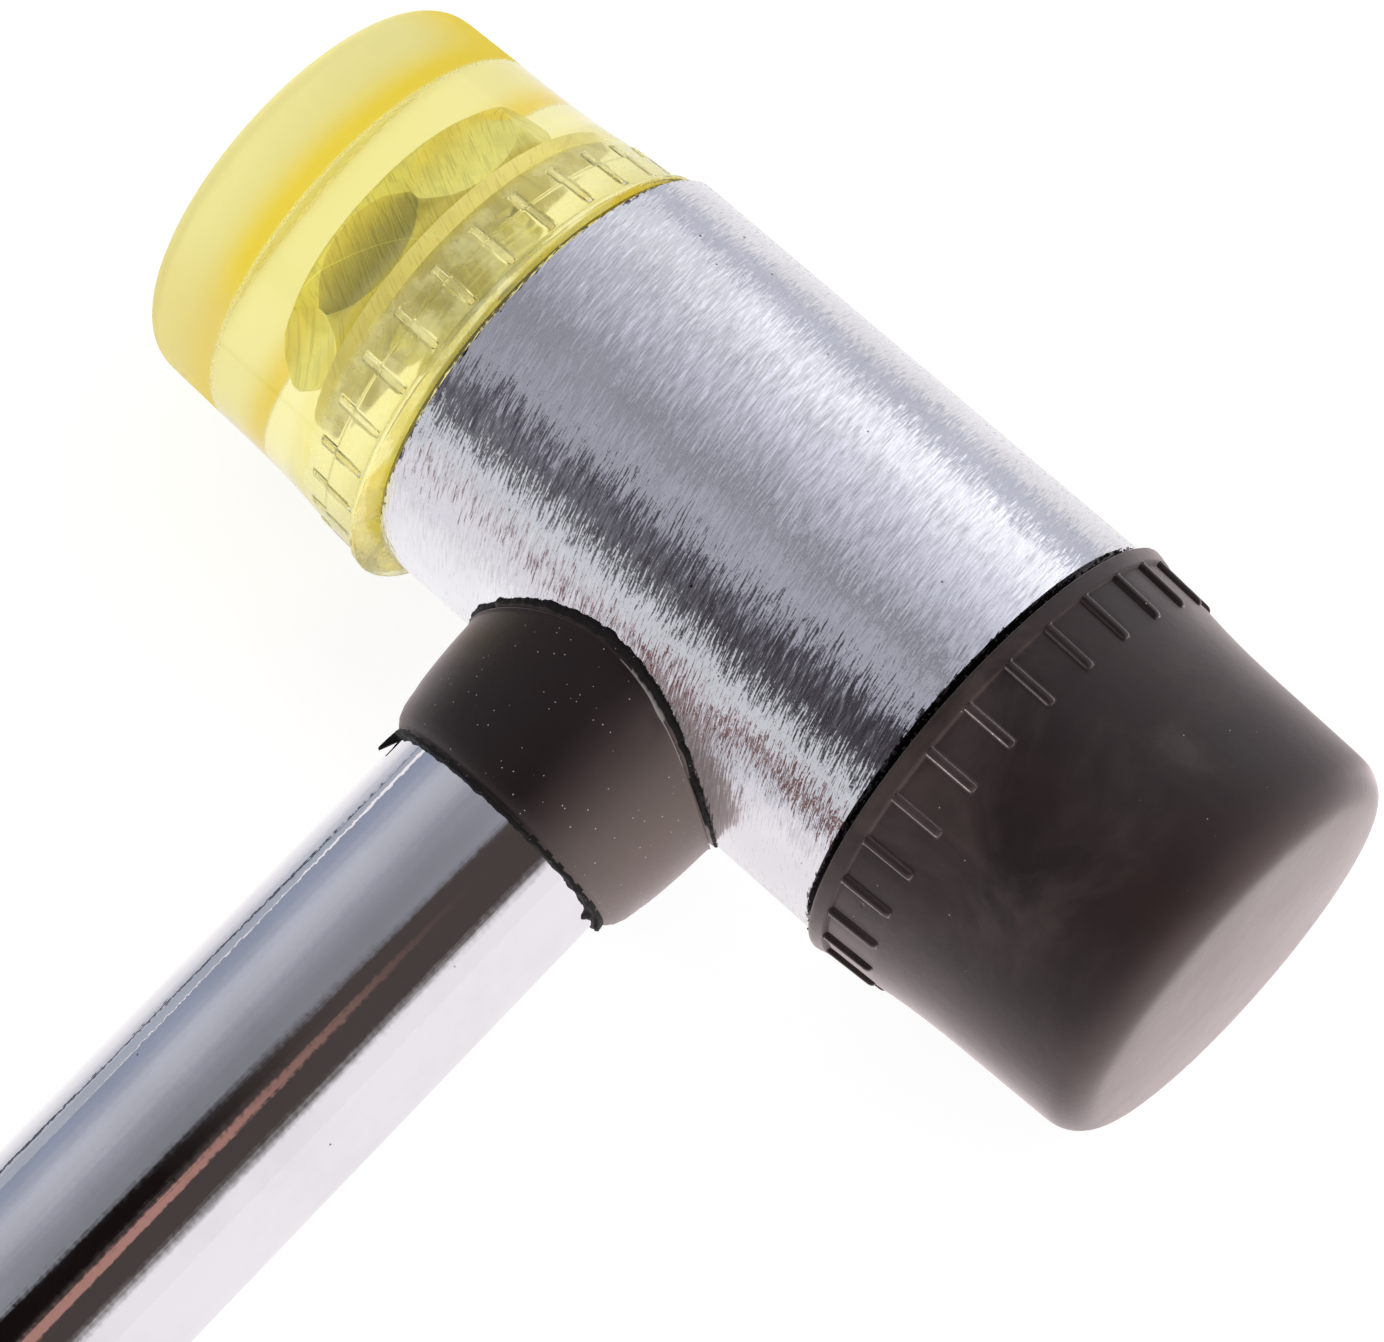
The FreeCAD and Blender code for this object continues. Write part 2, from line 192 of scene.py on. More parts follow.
# --- helpers for node trees -------------------------------------------------------------------
class Tree:
    """Adds nodes to one node tree and links them by passing sockets as values."""

    def __init__(self, tree):
        self.tree = tree
        tree.nodes.clear()

    def set(self, socket, value):
        if isinstance(value, bpy.types.NodeSocket):
            self.tree.links.new(value, socket)
        elif hasattr(socket.default_value, "__len__") and len(socket.default_value) == 4:
            socket.default_value = (*value, 1.0)[:4]
        else:
            socket.default_value = value

    def add(self, kind, sockets=None, **settings):
        node = self.tree.nodes.new(kind)
        for name, value in settings.items():
            setattr(node, name, value)
        self.fill(node, sockets or {})
        return node

    def fill(self, node, sockets):
        for name, value in sockets.items():
            self.set(node.inputs[name], value)

    def math(self, operation, *values):
        node = self.add("ShaderNodeMath", dict(enumerate(values)), operation=operation)
        return node.outputs[0]

    def plus(self, a, b):
        return self.math("ADD", a, b)

    def minus(self, a, b):
        return self.math("SUBTRACT", a, b)

    def times(self, a, b):
        return self.math("MULTIPLY", a, b)

    def over(self, a, b):
        return self.math("DIVIDE", a, b)

    def most(self, a, b):
        return self.math("MAXIMUM", a, b)

    def least(self, a, b):
        return self.math("MINIMUM", a, b)

    def size(self, value):
        return self.math("ABSOLUTE", value)

    def line(self, value, slope, start):
        """Slope times value, plus start."""
        return self.math("MULTIPLY_ADD", value, slope, start)

    def vector(self, operation, *values):
        node = self.add("ShaderNodeVectorMath", dict(enumerate(values)), operation=operation)
        return node.outputs[0]

    def scaled(self, vector, factor):
        node = self.add("ShaderNodeVectorMath", {0: vector, "Scale": factor}, operation="SCALE")
        return node.outputs[0]

    def mixed(self, factor, a, b):
        return self.add("ShaderNodeMix", {0: factor, 6: a, 7: b}, data_type="RGBA").outputs[2]

    def blended(self, factor, a, b):
        """One shader turning into another."""
        return self.add("ShaderNodeMixShader", {0: factor, 1: a, 2: b}).outputs[0]

    def joined(self, x, y, z):
        return self.add("ShaderNodeCombineXYZ", {0: x, 1: y, 2: z}).outputs[0]

    def split(self, vector):
        return self.add("ShaderNodeSeparateXYZ", {0: vector}).outputs

    def noise(self, vector, scale, detail=2.0, roughness=0.5, distortion=0.0):
        return self.add("ShaderNodeTexNoise", {
            "Vector": vector, "Scale": scale, "Detail": detail, "Roughness": roughness,
            "Distortion": distortion}).outputs

    def cells(self, vector, scale, feature="F1"):
        return self.add("ShaderNodeTexVoronoi", {"Vector": vector, "Scale": scale},
                        feature=feature).outputs

    def step(self, value, start, end):
        """Smooth step from 0 at start to 1 at end."""
        return self.add("ShaderNodeMapRange", {
            "Value": value, "From Min": start, "From Max": end}, interpolation_type="SMOOTHSTEP",
            clamp=True).outputs[0]

    def where_both(self, a, a_step, b, b_step):
        """1 where two values are both past their smooth steps, each given as (start, end)."""
        return self.times(self.step(a, *a_step), self.step(b, *b_step))

    def between(self, value, rise, fall):
        """1 between two smooth steps of one value."""
        return self.where_both(value, rise, value, fall)

    def ramp(self, value, stops):
        """Colour ramp through (position, colour) stops."""
        node = self.add("ShaderNodeValToRGB", {0: value})
        elements = node.color_ramp.elements
        while len(elements) < len(stops):
            elements.new(1.0)
        for element, (position, shade) in zip(elements, stops):
            element.position = position
            element.color = (*shade, 1.0)
        return node.outputs[0]

    def bump(self, height, distance, strength=1.0):
        return self.add("ShaderNodeBump", {
            "Height": height, "Distance": distance, "Strength": strength}).outputs[0]


def toned(shade, factor):
    """A colour made darker or paler, up to white."""
    return tuple(min(1.0, channel * factor) for channel in shade)


def new_finish(name):
    """A material with an empty tree, its object coordinates, and a Principled shader."""
    material = bpy.data.materials.new(name)
    material.use_nodes = True
    tree = Tree(material.node_tree)
    place = tree.add("ShaderNodeTexCoord").outputs["Object"]
    shader = tree.add("ShaderNodeBsdfPrincipled")
    output = tree.add("ShaderNodeOutputMaterial", {"Surface": shader.outputs[0]})
    return material, tree, place, shader, output


def about_head(tree, place):
    """Object coordinates about the head's axis: along it, and the length of arc round it."""
    centred = tree.vector("SUBTRACT", place, tuple(HEAD))
    x, y, z = tree.split(centred)
    angle = tree.math("ARCTAN2", y, z)
    return centred, x, tree.times(angle, BARREL_R)


def distance(tree, y, z):
    return tree.math("SQRT", tree.plus(tree.times(y, y), tree.times(z, z)))


def coated(tree, shade, *coats):
    """A colour under coats, each given as (how much it covers, its colour)."""
    for cover, coat in coats:
        shade = tree.mixed(cover, shade, coat)
    return shade


# --- finishes ---------------------------------------------------------------------------------
def chosen_cells(tree, place, scale, radius, share):
    """Small round marks: the given share of cells has one, of this radius in cell widths."""
    cells = tree.cells(place, scale)
    return tree.times(tree.step(cells[0], radius, radius * 0.5),
                      tree.step(tree.split(cells[1])[0], 1 - share, 1 - share * 0.9))


FURROW = (0.50, 0.50, 0.53)
DARK_PITS_AND_ENDS = (0.10, 0.09, 0.10)
DARK_ENDS_FROM = (BARREL_HIGH.x - BARREL_LOW.x) / 2 + 0.86 * MM


def stroke_noise(tree, place, metal):
    """Noise drawn out into short strokes that run round the barrel."""
    _, along, arc = about_head(tree, place)
    wander = tree.noise(place, 500.0, 1.0)[0]
    slanted = tree.line(arc, 0.16, along)
    across = tree.plus(tree.over(slanted, metal.stroke_width), tree.times(wander, 1.5))
    strokes = tree.joined(across, tree.over(arc, metal.stroke_length), 0.0)
    return tree.split(tree.noise(strokes, 1.0, 2.0, 0.6)[1])


def bent_by_strokes(tree, place, red, green, metal):
    """The surface's normal, tipped mostly round the barrel."""
    grain = tree.noise(place, 7000.0, 1.0)[0]
    wave = tree.noise(place, 210.0, 1.0)[0]
    normal = tree.add("ShaderNodeNewGeometry").outputs["Normal"]
    round_way = tree.vector("CROSS_PRODUCT", tuple(ALONG_HEAD), normal)
    tilt_round = tree.times(tree.minus(red, 0.5), metal.stroke_tilt)
    tilt_round = tree.plus(tilt_round, tree.times(tree.minus(grain, 0.5), 0.17))
    tilt_round = tree.plus(tilt_round, tree.times(tree.minus(wave, 0.5), 0.10))
    tilt_along = tree.times(tree.minus(green, 0.5), metal.stroke_tilt * 0.35)
    bent = tree.vector("ADD", normal, tree.scaled(round_way, tilt_round))
    bent = tree.vector("ADD", bent, tree.scaled(tuple(ALONG_HEAD), tilt_along))
    return tree.vector("NORMALIZE", bent)


def darker_ends(tree, place, red):
    """A darker colour with a frayed border at the barrel's two ends."""
    along = about_head(tree, place)[1]
    frayed = tree.plus(tree.size(along), tree.times(red, 0.9 * MM))
    frayed = tree.line(tree.noise(place, 190.0, 2.0)[0], 0.9 * MM, frayed)
    frayed = tree.line(tree.noise(place, 2400.0, 2.0)[0], 0.7 * MM, frayed)
    return tree.step(frayed, DARK_ENDS_FROM, DARK_ENDS_FROM + 0.07 * MM)


def brushed_chrome(metal):
    """Chrome over short brush strokes that run round the barrel."""
    material, tree, place, shader, _ = new_finish("brushed_chrome")
    red, green, blue = stroke_noise(tree, place, metal)
    shade = tree.noise(place, 160.0, 3.0)[0]
    tone = tree.mixed(tree.step(shade, 0.35, 0.65), toned(metal.chrome, 0.93),
                      tuple(metal.chrome))
    tone = tree.mixed(tree.times(tree.step(blue, 0.40, 0.30), 0.35), tone, FURROW)
    pit = chosen_cells(tree, place, 900.0, 0.11, 0.10)
    tree.fill(shader, {
        # pits, and a darker band with a frayed border at both ends of the barrel
        "Base Color": tree.mixed(tree.most(pit, darker_ends(tree, place, red)), tone, DARK_PITS_AND_ENDS),
        "Metallic": 1.0,
        "Roughness": tree.line(shade, 0.08, metal.barrel_roughness - 0.04),
        "Normal": bent_by_strokes(tree, place, red, green, metal),
    })
    return material


def mirror_chrome(metal):
    """Mirror plating with faint drawing lines along the tube and a few smears."""
    material, tree, place, shader, _ = new_finish("mirror_chrome")
    x, y, z = tree.split(tree.vector("SUBTRACT", place, (HEAD.x, 0.0, HEAD.z)))
    arc = tree.times(tree.math("ARCTAN2", x, z), TUBE_R)
    lines = tree.joined(tree.over(arc, 0.30 * MM), tree.over(y, 45 * MM), 0.0)
    line = tree.noise(lines, 1.0, 4.0, 0.65)[0]
    normal = tree.add("ShaderNodeNewGeometry").outputs["Normal"]
    round_way = tree.vector("CROSS_PRODUCT", (0.0, 1.0, 0.0), normal)
    tilt = tree.times(tree.minus(line, 0.5), 0.11)
    haze = tree.times(tree.minus(tree.noise(place, 2600.0, 2.0)[0], 0.5), 0.05)
    bent = tree.vector("ADD", normal, tree.scaled(round_way, tree.plus(tilt, haze)))
    smear = tree.noise(place, 120.0, 4.0, 0.6)[0]
    pit = chosen_cells(tree, place, 700.0, 0.07, 0.06)
    plated = tree.mixed(tree.step(smear, 0.4, 0.7), tuple(metal.chrome),
                        toned(metal.chrome, 0.93))
    tree.fill(shader, {
        "Base Color": tree.mixed(pit, plated, (0.20, 0.19, 0.20)),
        "Metallic": 1.0,
        "Roughness": tree.line(tree.step(smear, 0.45, 0.75), 0.05, metal.tube_roughness),
        "Normal": tree.vector("NORMALIZE", bent),
    })
    return material


BLOOM = (0.055, 0.041, 0.036)            # wax that comes to the rubber's surface
# painted light on the rubber's +X side
PAINTED_SIDE_LIGHT = (0.10, 0.078, 0.072)
SIDE_LIGHT_LENGTH = 9 * MM                    # over which the painted light towards +X sets in
SPECK = (0.34, 0.30, 0.29)
# painted highlight along the collar's fold
NICK = (0.004, 0.003, 0.003)
GLINT = (0.55, 0.53, 0.52)


def rubber_relief(tree, place, grain_scale, pebbles, nick):
    """Height of the rubber's skin: fine grain over slow waves, with sunk nicks."""
    grain = tree.noise(place, grain_scale, 3.0, 0.6)[0]
    relief = tree.plus(tree.times(grain, 0.35), tree.noise(place, 300.0, 2.0)[0])
    relief = tree.minus(relief, nick)
    if pebbles:
        bead = tree.step(tree.cells(place, 1100.0, "SMOOTH_F1")[0], 0.75, 0.15)
        relief = tree.line(bead, pebbles, relief)
    return relief


def moulded_rubber(name, base, grain_scale=2600.0, specks=0.6, nicks=0.05, pebbles=0.0,
                   bloomed=0.03, gloss=0.40, side_light_from=None, warmth=0.6):
    """Moulded rubber with bloom: fine grain, cloudy tone, pale dust, small dark nicks; also painted
    light, paler towards +X when asked, and a painted highlight where the mesh marks a glint.
    """
    material, tree, place, shader, _ = new_finish(name)
    cloud = tree.noise(place, 130.0, 4.0, 0.6)[0]
    body = tree.mixed(tree.step(cloud, 0.35, 0.7), toned(base, 0.8), toned(base, 1.5))
    warm = tree.step(tree.noise(place, 70.0, 2.0)[0], 0.5, 0.75)
    bloom = tree.step(tree.noise(place, 95.0, 5.0, 0.62, 0.6)[0], 0.46, 0.72)
    coats = [(tree.times(warm, warmth), (base[0] * 1.9, base[1] * 1.2, base[2] * 0.8)),
             (tree.times(bloom, bloomed), BLOOM)]
    if side_light_from is not None:
        # painted light: the rubber turns paler towards +X, its lit side
        side_light = tree.step(tree.split(place)[0], side_light_from, side_light_from + SIDE_LIGHT_LENGTH)
        coats.append((tree.times(side_light, 0.9), PAINTED_SIDE_LIGHT))
    stretched = tree.vector("MULTIPLY", place, (1.0, 0.45, 0.8))
    nick = chosen_cells(tree, stretched, 420.0, 0.07, nicks)
    # the mesh marks where the painted highlight lies
    glint = tree.add("ShaderNodeAttribute", attribute_name="glint").outputs["Fac"]
    coats += [(chosen_cells(tree, place, 2000.0, 0.10, specks), SPECK), (nick, NICK),
              (tree.times(glint, 0.4), GLINT)]
    relief = rubber_relief(tree, place, grain_scale, pebbles, nick)
    tree.fill(shader, {
        "Base Color": coated(tree, body, *coats),
        "Roughness": tree.line(cloud, 0.34, 0.26),
        "Specular IOR Level": gloss,
        "Specular Tint": (1.0, 0.86, 0.87),
        "Sheen Weight": 0.62,
        "Sheen Roughness": 0.40,
        "Sheen Tint": (1.0, 0.84, 0.85),
        "Normal": tree.bump(relief, 0.05 * MM, 0.6),
    })
    return material


def torn_rubber_and_lip_shade():
    """Matt, black and crumbly rubber: the raw torn edge where moulding flash was pulled off, and
    painted shade of the gap along the collar's lip on the barrel.
    """
    material, tree, place, shader, _ = new_finish("torn_rubber_and_lip_shade")
    crumb = tree.noise(place, 5200.0, 3.0, 0.7)[0]
    fleck = chosen_cells(tree, place, 5200.0, 0.3, 0.10)
    tree.fill(shader, {
        "Base Color": tree.mixed(fleck, (0.005, 0.0035, 0.0035), (0.12, 0.11, 0.11)),
        "Roughness": 0.55,
        "Specular IOR Level": 0.3,
        "Normal": tree.bump(crumb, 0.15 * MM),
    })
    return material


ClearZones = namedtuple("ClearZones", "end paler disc band rim under_head")

# the frosted end's shading is painted light: pale in the middle where light falls, deep gold at its
# border and on the +Y side, beige towards the handle
GOLD = (1.0, 0.79, 0.05)                 # the frosted end beside its border
PAINTED_LIGHT_GOLD = (1.0, 0.98, 0.64)
BEIGE = (1.0, 0.84, 0.42)                # the frosted end's side towards the handle
DISC = (1.0, 0.985, 0.70)
DISC_EDGE = (1.0, 0.86, 0.25)
MILK = (1.0, 1.0, 0.78)
MILK_AT_RIM = (1.0, 0.97, 0.62)
MILK_IN_BAND = (1.0, 0.97, 0.55)
# painted shade: a deeper gold ring just below the bolt head's washer
SHADE_UNDER_HEAD = (1.0, 0.86, 0.16)


# where each zone of the clear face starts and is complete, from the face's base
FROSTED = (FACE_LENGTH - 7.0 * MM, FACE_LENGTH - 6.5 * MM)
PALER = (FACE_LENGTH - 6.2 * MM, FACE_LENGTH - 3.4 * MM)
ON_DISC = (FACE_LENGTH - 0.9 * MM, FACE_LENGTH - 0.5 * MM)
IN_BAND = (6.2 * MM, 4.6 * MM)
AT_RIM = (0.40 * MM, 0.25 * MM)
UNDER_HEAD = (4.4 * MM, 5.2 * MM)
PAST_UNDER_HEAD = (7.4 * MM, 6.0 * MM)


def clear_zones(tree, place, frost):
    """Where the clear face is frosted, paler, on its disc, ribbed, at its rim, under the head."""
    from_base = tree.minus(-FACE_BASE, tree.split(place)[0])
    _, y, _ = tree.split(about_head(tree, place)[0])
    return ClearZones(
        end=tree.step(tree.line(frost, 0.25 * MM, from_base), *FROSTED),
        paler=tree.where_both(from_base, PALER, y, (12 * MM, 7 * MM)),
        disc=tree.step(from_base, *ON_DISC),
        band=tree.step(from_base, *IN_BAND),
        rim=tree.step(from_base, *AT_RIM),
        under_head=tree.between(from_base, UNDER_HEAD, PAST_UNDER_HEAD))


def milk_colour(tree, place, zones):
    """Colour of the cloudy plastic in each zone, with painted light over the frosted end and painted
    shade under the bolt head.
    """
    _, y, z = tree.split(about_head(tree, place)[0])
    out = distance(tree, y, z)
    by_handle = tree.times(tree.step(y, -9 * MM, -13.5 * MM), 0.7)
    on_disc = tree.mixed(tree.step(out, 13.4 * MM, 12.6 * MM), DISC_EDGE, DISC)
    # painted light over the frosted end
    frosted = coated(tree, GOLD, (zones.paler, PAINTED_LIGHT_GOLD), (by_handle, BEIGE),
                     (zones.disc, on_disc))
    beside_rim = tree.times(zones.band, tree.step(zones.rim, 1.0, 0.0))
    # the ring under the bolt head is painted shade
    return coated(tree, MILK, (zones.rim, MILK_AT_RIM), (beside_rim, MILK_IN_BAND),
                  (zones.under_head, SHADE_UNDER_HEAD), (zones.end, frosted))


def milk_share(tree, place, zones):
    """How cloudy the plastic is in each zone."""
    patch = tree.step(tree.noise(place, 420.0, 3.0, 0.6)[0], 0.38, 0.66)
    share = tree.times(zones.band, tree.line(patch, 0.26, 0.16))
    share = tree.most(share, tree.times(zones.rim, 0.12))
    share = tree.most(share, tree.times(zones.under_head, 0.22))
    at_end = tree.most(tree.times(zones.disc, 0.62), tree.line(zones.paler, -0.42, 0.78))
    return tree.most(share, tree.times(zones.end, at_end))


def clear_plastic(faces):
    """Tinted clear plastic: the tint comes from the depth that light crosses; its end is frosted and
    its ribbed band is milky. The frosted end's pale and gold shading is painted light, and the gold
    ring under the bolt head is painted shade."""
    material, tree, place, shader, output = new_finish("clear_yellow")
    frost = tree.noise(place, 3600.0, 2.0)[0]
    zones = clear_zones(tree, place, frost)
    ripple = tree.noise(place, 260.0, 2.0)[0]
    relief = tree.line(tree.times(frost, 0.09), tree.line(zones.end, 1.2, 0.12), ripple)
    haze = tree.line(zones.end, 0.40, 0.03)
    tree.fill(shader, {
        "Base Color": tree.mixed(zones.band, (1.0, 0.985, 0.85), (1.0, 0.95, 0.62)),
        "Roughness": tree.line(zones.band, 0.06, haze),
        "IOR": 1.47,
        "Transmission Weight": 1.0,
        "Specular Tint": tree.mixed(zones.end, WHITE, (1.0, 0.86, 0.35)),
        "Normal": tree.bump(relief, 0.2 * MM, 0.12),
    })
    depth = tree.add("ShaderNodeVolumeAbsorption", {
        "Color": tuple(faces.clear_tint), "Density": faces.clear_density})
    tree.set(output.inputs["Volume"], depth.outputs[0])
    milk = milk_colour(tree, place, zones)
    behind = tree.add("ShaderNodeBsdfTranslucent", {"Color": milk}).outputs[0]
    front = tree.add("ShaderNodeBsdfDiffuse", {"Color": milk}).outputs[0]
    cloudy = tree.blended(tree.line(zones.end, -0.4, 0.8), behind, front)
    body = tree.blended(milk_share(tree, place, zones), shader.outputs[0], cloudy)
    shade = tree.add("ShaderNodeBsdfTransparent", {"Color": (0.98, 0.95, 0.75)}).outputs[0]
    in_shadow = rays_that_see(tree, "Is Shadow Ray")
    tree.set(output.inputs["Surface"], tree.blended(in_shadow, body, shade))
    return material


SCRATCH_AT = -28.7 * MM                  # along the head: on the bolt in the clear face


def long_scratch(tree, along, y, z):
    """One bowed scratch over the top of whatever lies there."""
    from_scratch = tree.minus(along, SCRATCH_AT)
    bow = tree.times(tree.times(from_scratch, from_scratch), 110.0)
    course = tree.plus(tree.plus(y, bow), tree.line(from_scratch, -1.1, 2.75 * MM))
    return tree.where_both(tree.size(course), (0.09 * MM, 0.05 * MM), z, (0.0, 0.1 * MM))


def plain_steel(name, base, roughness, metallic=1.0, rings=False):
    """Plated or turned steel with fine machining lines, stains and one long scratch."""
    material, tree, place, shader, _ = new_finish(name)
    centred, along, _ = about_head(tree, place)
    _, y, z = tree.split(centred)
    lines = distance(tree, y, z) if rings else tree.line(along, 0.35, y)
    drawn_out = tree.joined(tree.times(lines, 7000.0), tree.times(along, 500.0), 0.0)
    groove = tree.noise(drawn_out, 1.0, 3.0)[0]
    stain = tree.noise(place, 380.0, 4.0, 0.6)[0]
    scratch = long_scratch(tree, along, y, z)
    tone = tree.mixed(tree.step(stain, 0.4, 0.7), tuple(base), toned(base, 0.85))
    darker = tree.mixed(tree.step(groove, 0.48, 0.36), tone, toned(base, 0.78))
    tree.fill(shader, {
        "Base Color": tree.mixed(scratch, darker, toned(base, 1.25)),
        "Metallic": metallic,
        "Roughness": tree.line(stain, 0.2, roughness - 0.1),
        "Normal": tree.bump(groove, 0.04 * MM, 0.6),
    })
    return material


def moulded_plastic(name, base):
    """Hard moulded plastic with a fine spark grain."""
    material, tree, place, shader, _ = new_finish(name)
    grain = tree.noise(place, 3200.0, 2.0)[0]
    cloud = tree.noise(place, 200.0, 3.0)[0]
    tree.fill(shader, {
        "Base Color": tree.mixed(cloud, toned(base, 0.8), tuple(base)),
        "Roughness": tree.line(cloud, 0.15, 0.35),
        "Normal": tree.bump(grain, 0.04 * MM, 0.5),
    })
    return material


# --- helpers for meshes -----------------------------------------------------------------------
def spun(bm, outline, steps, closed=False):
    """Spin (along, radius) points a full turn about X and close the poles."""
    verts = [bm.verts.new((along, 0.0, radius)) for along, radius in outline]
    ends = verts[1:] + verts[:1] if closed else verts[1:]
    edges = [bm.edges.new(pair) for pair in zip(verts, ends)]
    bmesh.ops.spin(bm, geom=verts + edges, cent=(0, 0, 0), axis=(1, 0, 0), dvec=(0, 0, 0),
                   angle=2 * math.pi, steps=steps, use_merge=True, use_normal_flip=False,
                   use_duplicate=False)
    bmesh.ops.remove_doubles(bm, verts=bm.verts, dist=WELD)
    bmesh.ops.recalc_face_normals(bm, faces=bm.faces)


def arc_points(centre, radius, start, end, count):
    """Points on an arc in the (along, radius) plane; angles in radians from the along axis."""
    for k in range(count + 1):
        angle = start + (end - start) * k / count
        yield (centre[0] + radius * math.cos(angle), centre[1] + radius * math.sin(angle))


def new_piece(name, bm, matrix, body, material, replaces, sharp=None):
    """Turn a bmesh into a finished piece that rides on a body and stands for a node."""
    bm.transform(matrix)
    mesh = bpy.data.meshes.new(name)
    bm.to_mesh(mesh)
    bm.free()
    for polygon in mesh.polygons:
        polygon.use_smooth = True
    if sharp is not None:
        mesh.set_sharp_from_angle(angle=sharp)
    piece = bpy.data.objects.new(name, mesh)
    bpy.context.scene.collection.objects.link(piece)
    mesh.materials.append(material)
    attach(piece, body)
    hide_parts(replaces)
    return piece


def mark_torn_and_shaded(piece, is_torn):
    """Give the faces whose middle passes a test the black torn finish, which on the collar's lip is
    painted shade.
    """
    piece.data.materials.append(torn_rubber_and_lip_shade())
    for polygon in piece.data.polygons:
        polygon.material_index = int(is_torn(polygon.center))


def paint(node, material):
    """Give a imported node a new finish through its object's slots."""
    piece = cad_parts[node]
    if not piece.material_slots:
        raise RuntimeError(f"{node} has no material slot")
    for slot in piece.material_slots:
        slot.link = "OBJECT"
        slot.material = material


def subdivide(piece, levels):
    modifier = piece.modifiers.new("smooth", "SUBSURF")
    modifier.levels = modifier.render_levels = levels


def side_matrix(side, centre_y):
    """From a face drawn towards +X from its base to its place on the black or clear side."""
    turn = Matrix.Rotation(math.pi, 4, "Z") if side < 0 else Matrix.Identity(4)
    return Matrix.Translation((side * FACE_BASE, centre_y, HEAD.z)) @ turn


# --- the faces --------------------------------------------------------------------------------
BAND_END = 5.0 * MM
BAND_END_R = 14.85 * MM
WAIST_AT = 9.5 * MM
FLARE = ((5.6 * MM, 0.72), (7.4 * MM, 0.30), (WAIST_AT, 0.0))   # place, share of the flare left
RIB_COLUMNS = 8                          # columns of vertices in one pitch; three carry the rib
BASE_GAP = 0.02 * MM                     # between a face's base and the washer it sits on
SOFT = 0.07 * MM                         # rounding of the flange's corners

FaceForm = namedtuple("FaceForm", "edge_r crown flange step_at ring_rise ribs_from rib_height")


def clear_form(faces):
    """A thin square flange, and a step that crosses the ribs."""
    return FaceForm(faces.clear_edge_r, faces.clear_crown, 0.42 * MM, 2.9 * MM, 0.12 * MM,
                    0.7 * MM, faces.rib_height * 0.42)


def black_form(faces):
    """A soft rim that runs into a ring, with the ribs beyond it."""
    return FaceForm(faces.black_edge_r, faces.black_crown, 0.12 * MM, 1.05 * MM, 0.36 * MM,
                    1.05 * MM, faces.rib_height)


def band_at(faces, along):
    return faces.band_r + (BAND_END_R - faces.band_r) * along / BAND_END


def rim_points(faces, form):
    """From the base's middle round the flange to the ring beside the ribs."""
    yield from ((BASE_GAP, 0.0), (BASE_GAP, FLANGE_R * 0.45), (BASE_GAP, FLANGE_R * 0.8),
                (BASE_GAP, FLANGE_R - 3 * SOFT), (BASE_GAP, FLANGE_R - SOFT),
                (BASE_GAP + SOFT * 0.8, FLANGE_R))
    if form.flange > 3 * SOFT:
        yield from ((form.flange - SOFT, FLANGE_R), (form.flange, FLANGE_R - SOFT),
                    (form.flange + 0.03 * MM, faces.band_r + form.ring_rise + SOFT),
                    (form.flange + 0.12 * MM, faces.band_r + form.ring_rise))
    else:
        yield from ((form.flange + 0.2 * MM, FLANGE_R - 0.07 * MM),
                    (0.6 * MM, FLANGE_R - 0.16 * MM))


def band_rows(faces, form):
    """Where rows of vertices cross the ribbed band, with the ends of the ribs among them."""
    start, end = form.ribs_from, form.ribs_from + faces.rib_length
    rows = {start - 0.1 * MM, end + 0.12 * MM}
    rows.update(start + (end - start) * share for share in (0.0, 0.07, 0.32, 0.6, 0.86, 0.94, 1.0))
    rows = {row for row in rows if abs(row - form.step_at) > 0.16 * MM}
    rows.update(form.step_at + offset * MM for offset in (-0.11, -0.03, 0.05, 0.13))
    return sorted(rows)


def face_outline(faces, form):
    """Half section of a face: base, rim, stepped band, flare, drafted wall, edge, crown."""
    dome_r = (faces.end_r ** 2 + form.crown ** 2) / (2 * form.crown)
    dome_at = FACE_LENGTH - dome_r
    reach = dome_r - form.edge_r
    edge_centre = (dome_at + math.sqrt(reach ** 2 - (faces.end_r - form.edge_r) ** 2),
                   faces.end_r - form.edge_r)
    slope = math.asin(edge_centre[1] / reach)
    yield from rim_points(faces, form)
    for along in band_rows(faces, form):
        yield along, band_at(faces, along) + (form.ring_rise if along < form.step_at else 0.0)
    for along, share in FLARE:
        yield along, faces.waist_r + (BAND_END_R - faces.waist_r) * share
    for share in (0.35, 0.7):
        yield (WAIST_AT + (edge_centre[0] - WAIST_AT) * share,
               faces.waist_r + (faces.end_r - faces.waist_r) * share)
    yield from arc_points(edge_centre, form.edge_r, math.pi / 2, slope, 6)
    for share in (0.8, 0.55, 0.25, 0.0):
        yield dome_at + dome_r * math.cos(slope * share), dome_r * math.sin(slope * share)


def pitches_round(point, faces):
    """A point's angle about the head's axis, counted in rib pitches."""
    return math.atan2(point.y, point.z) % (2 * math.pi) * faces.rib_count / (2 * math.pi)


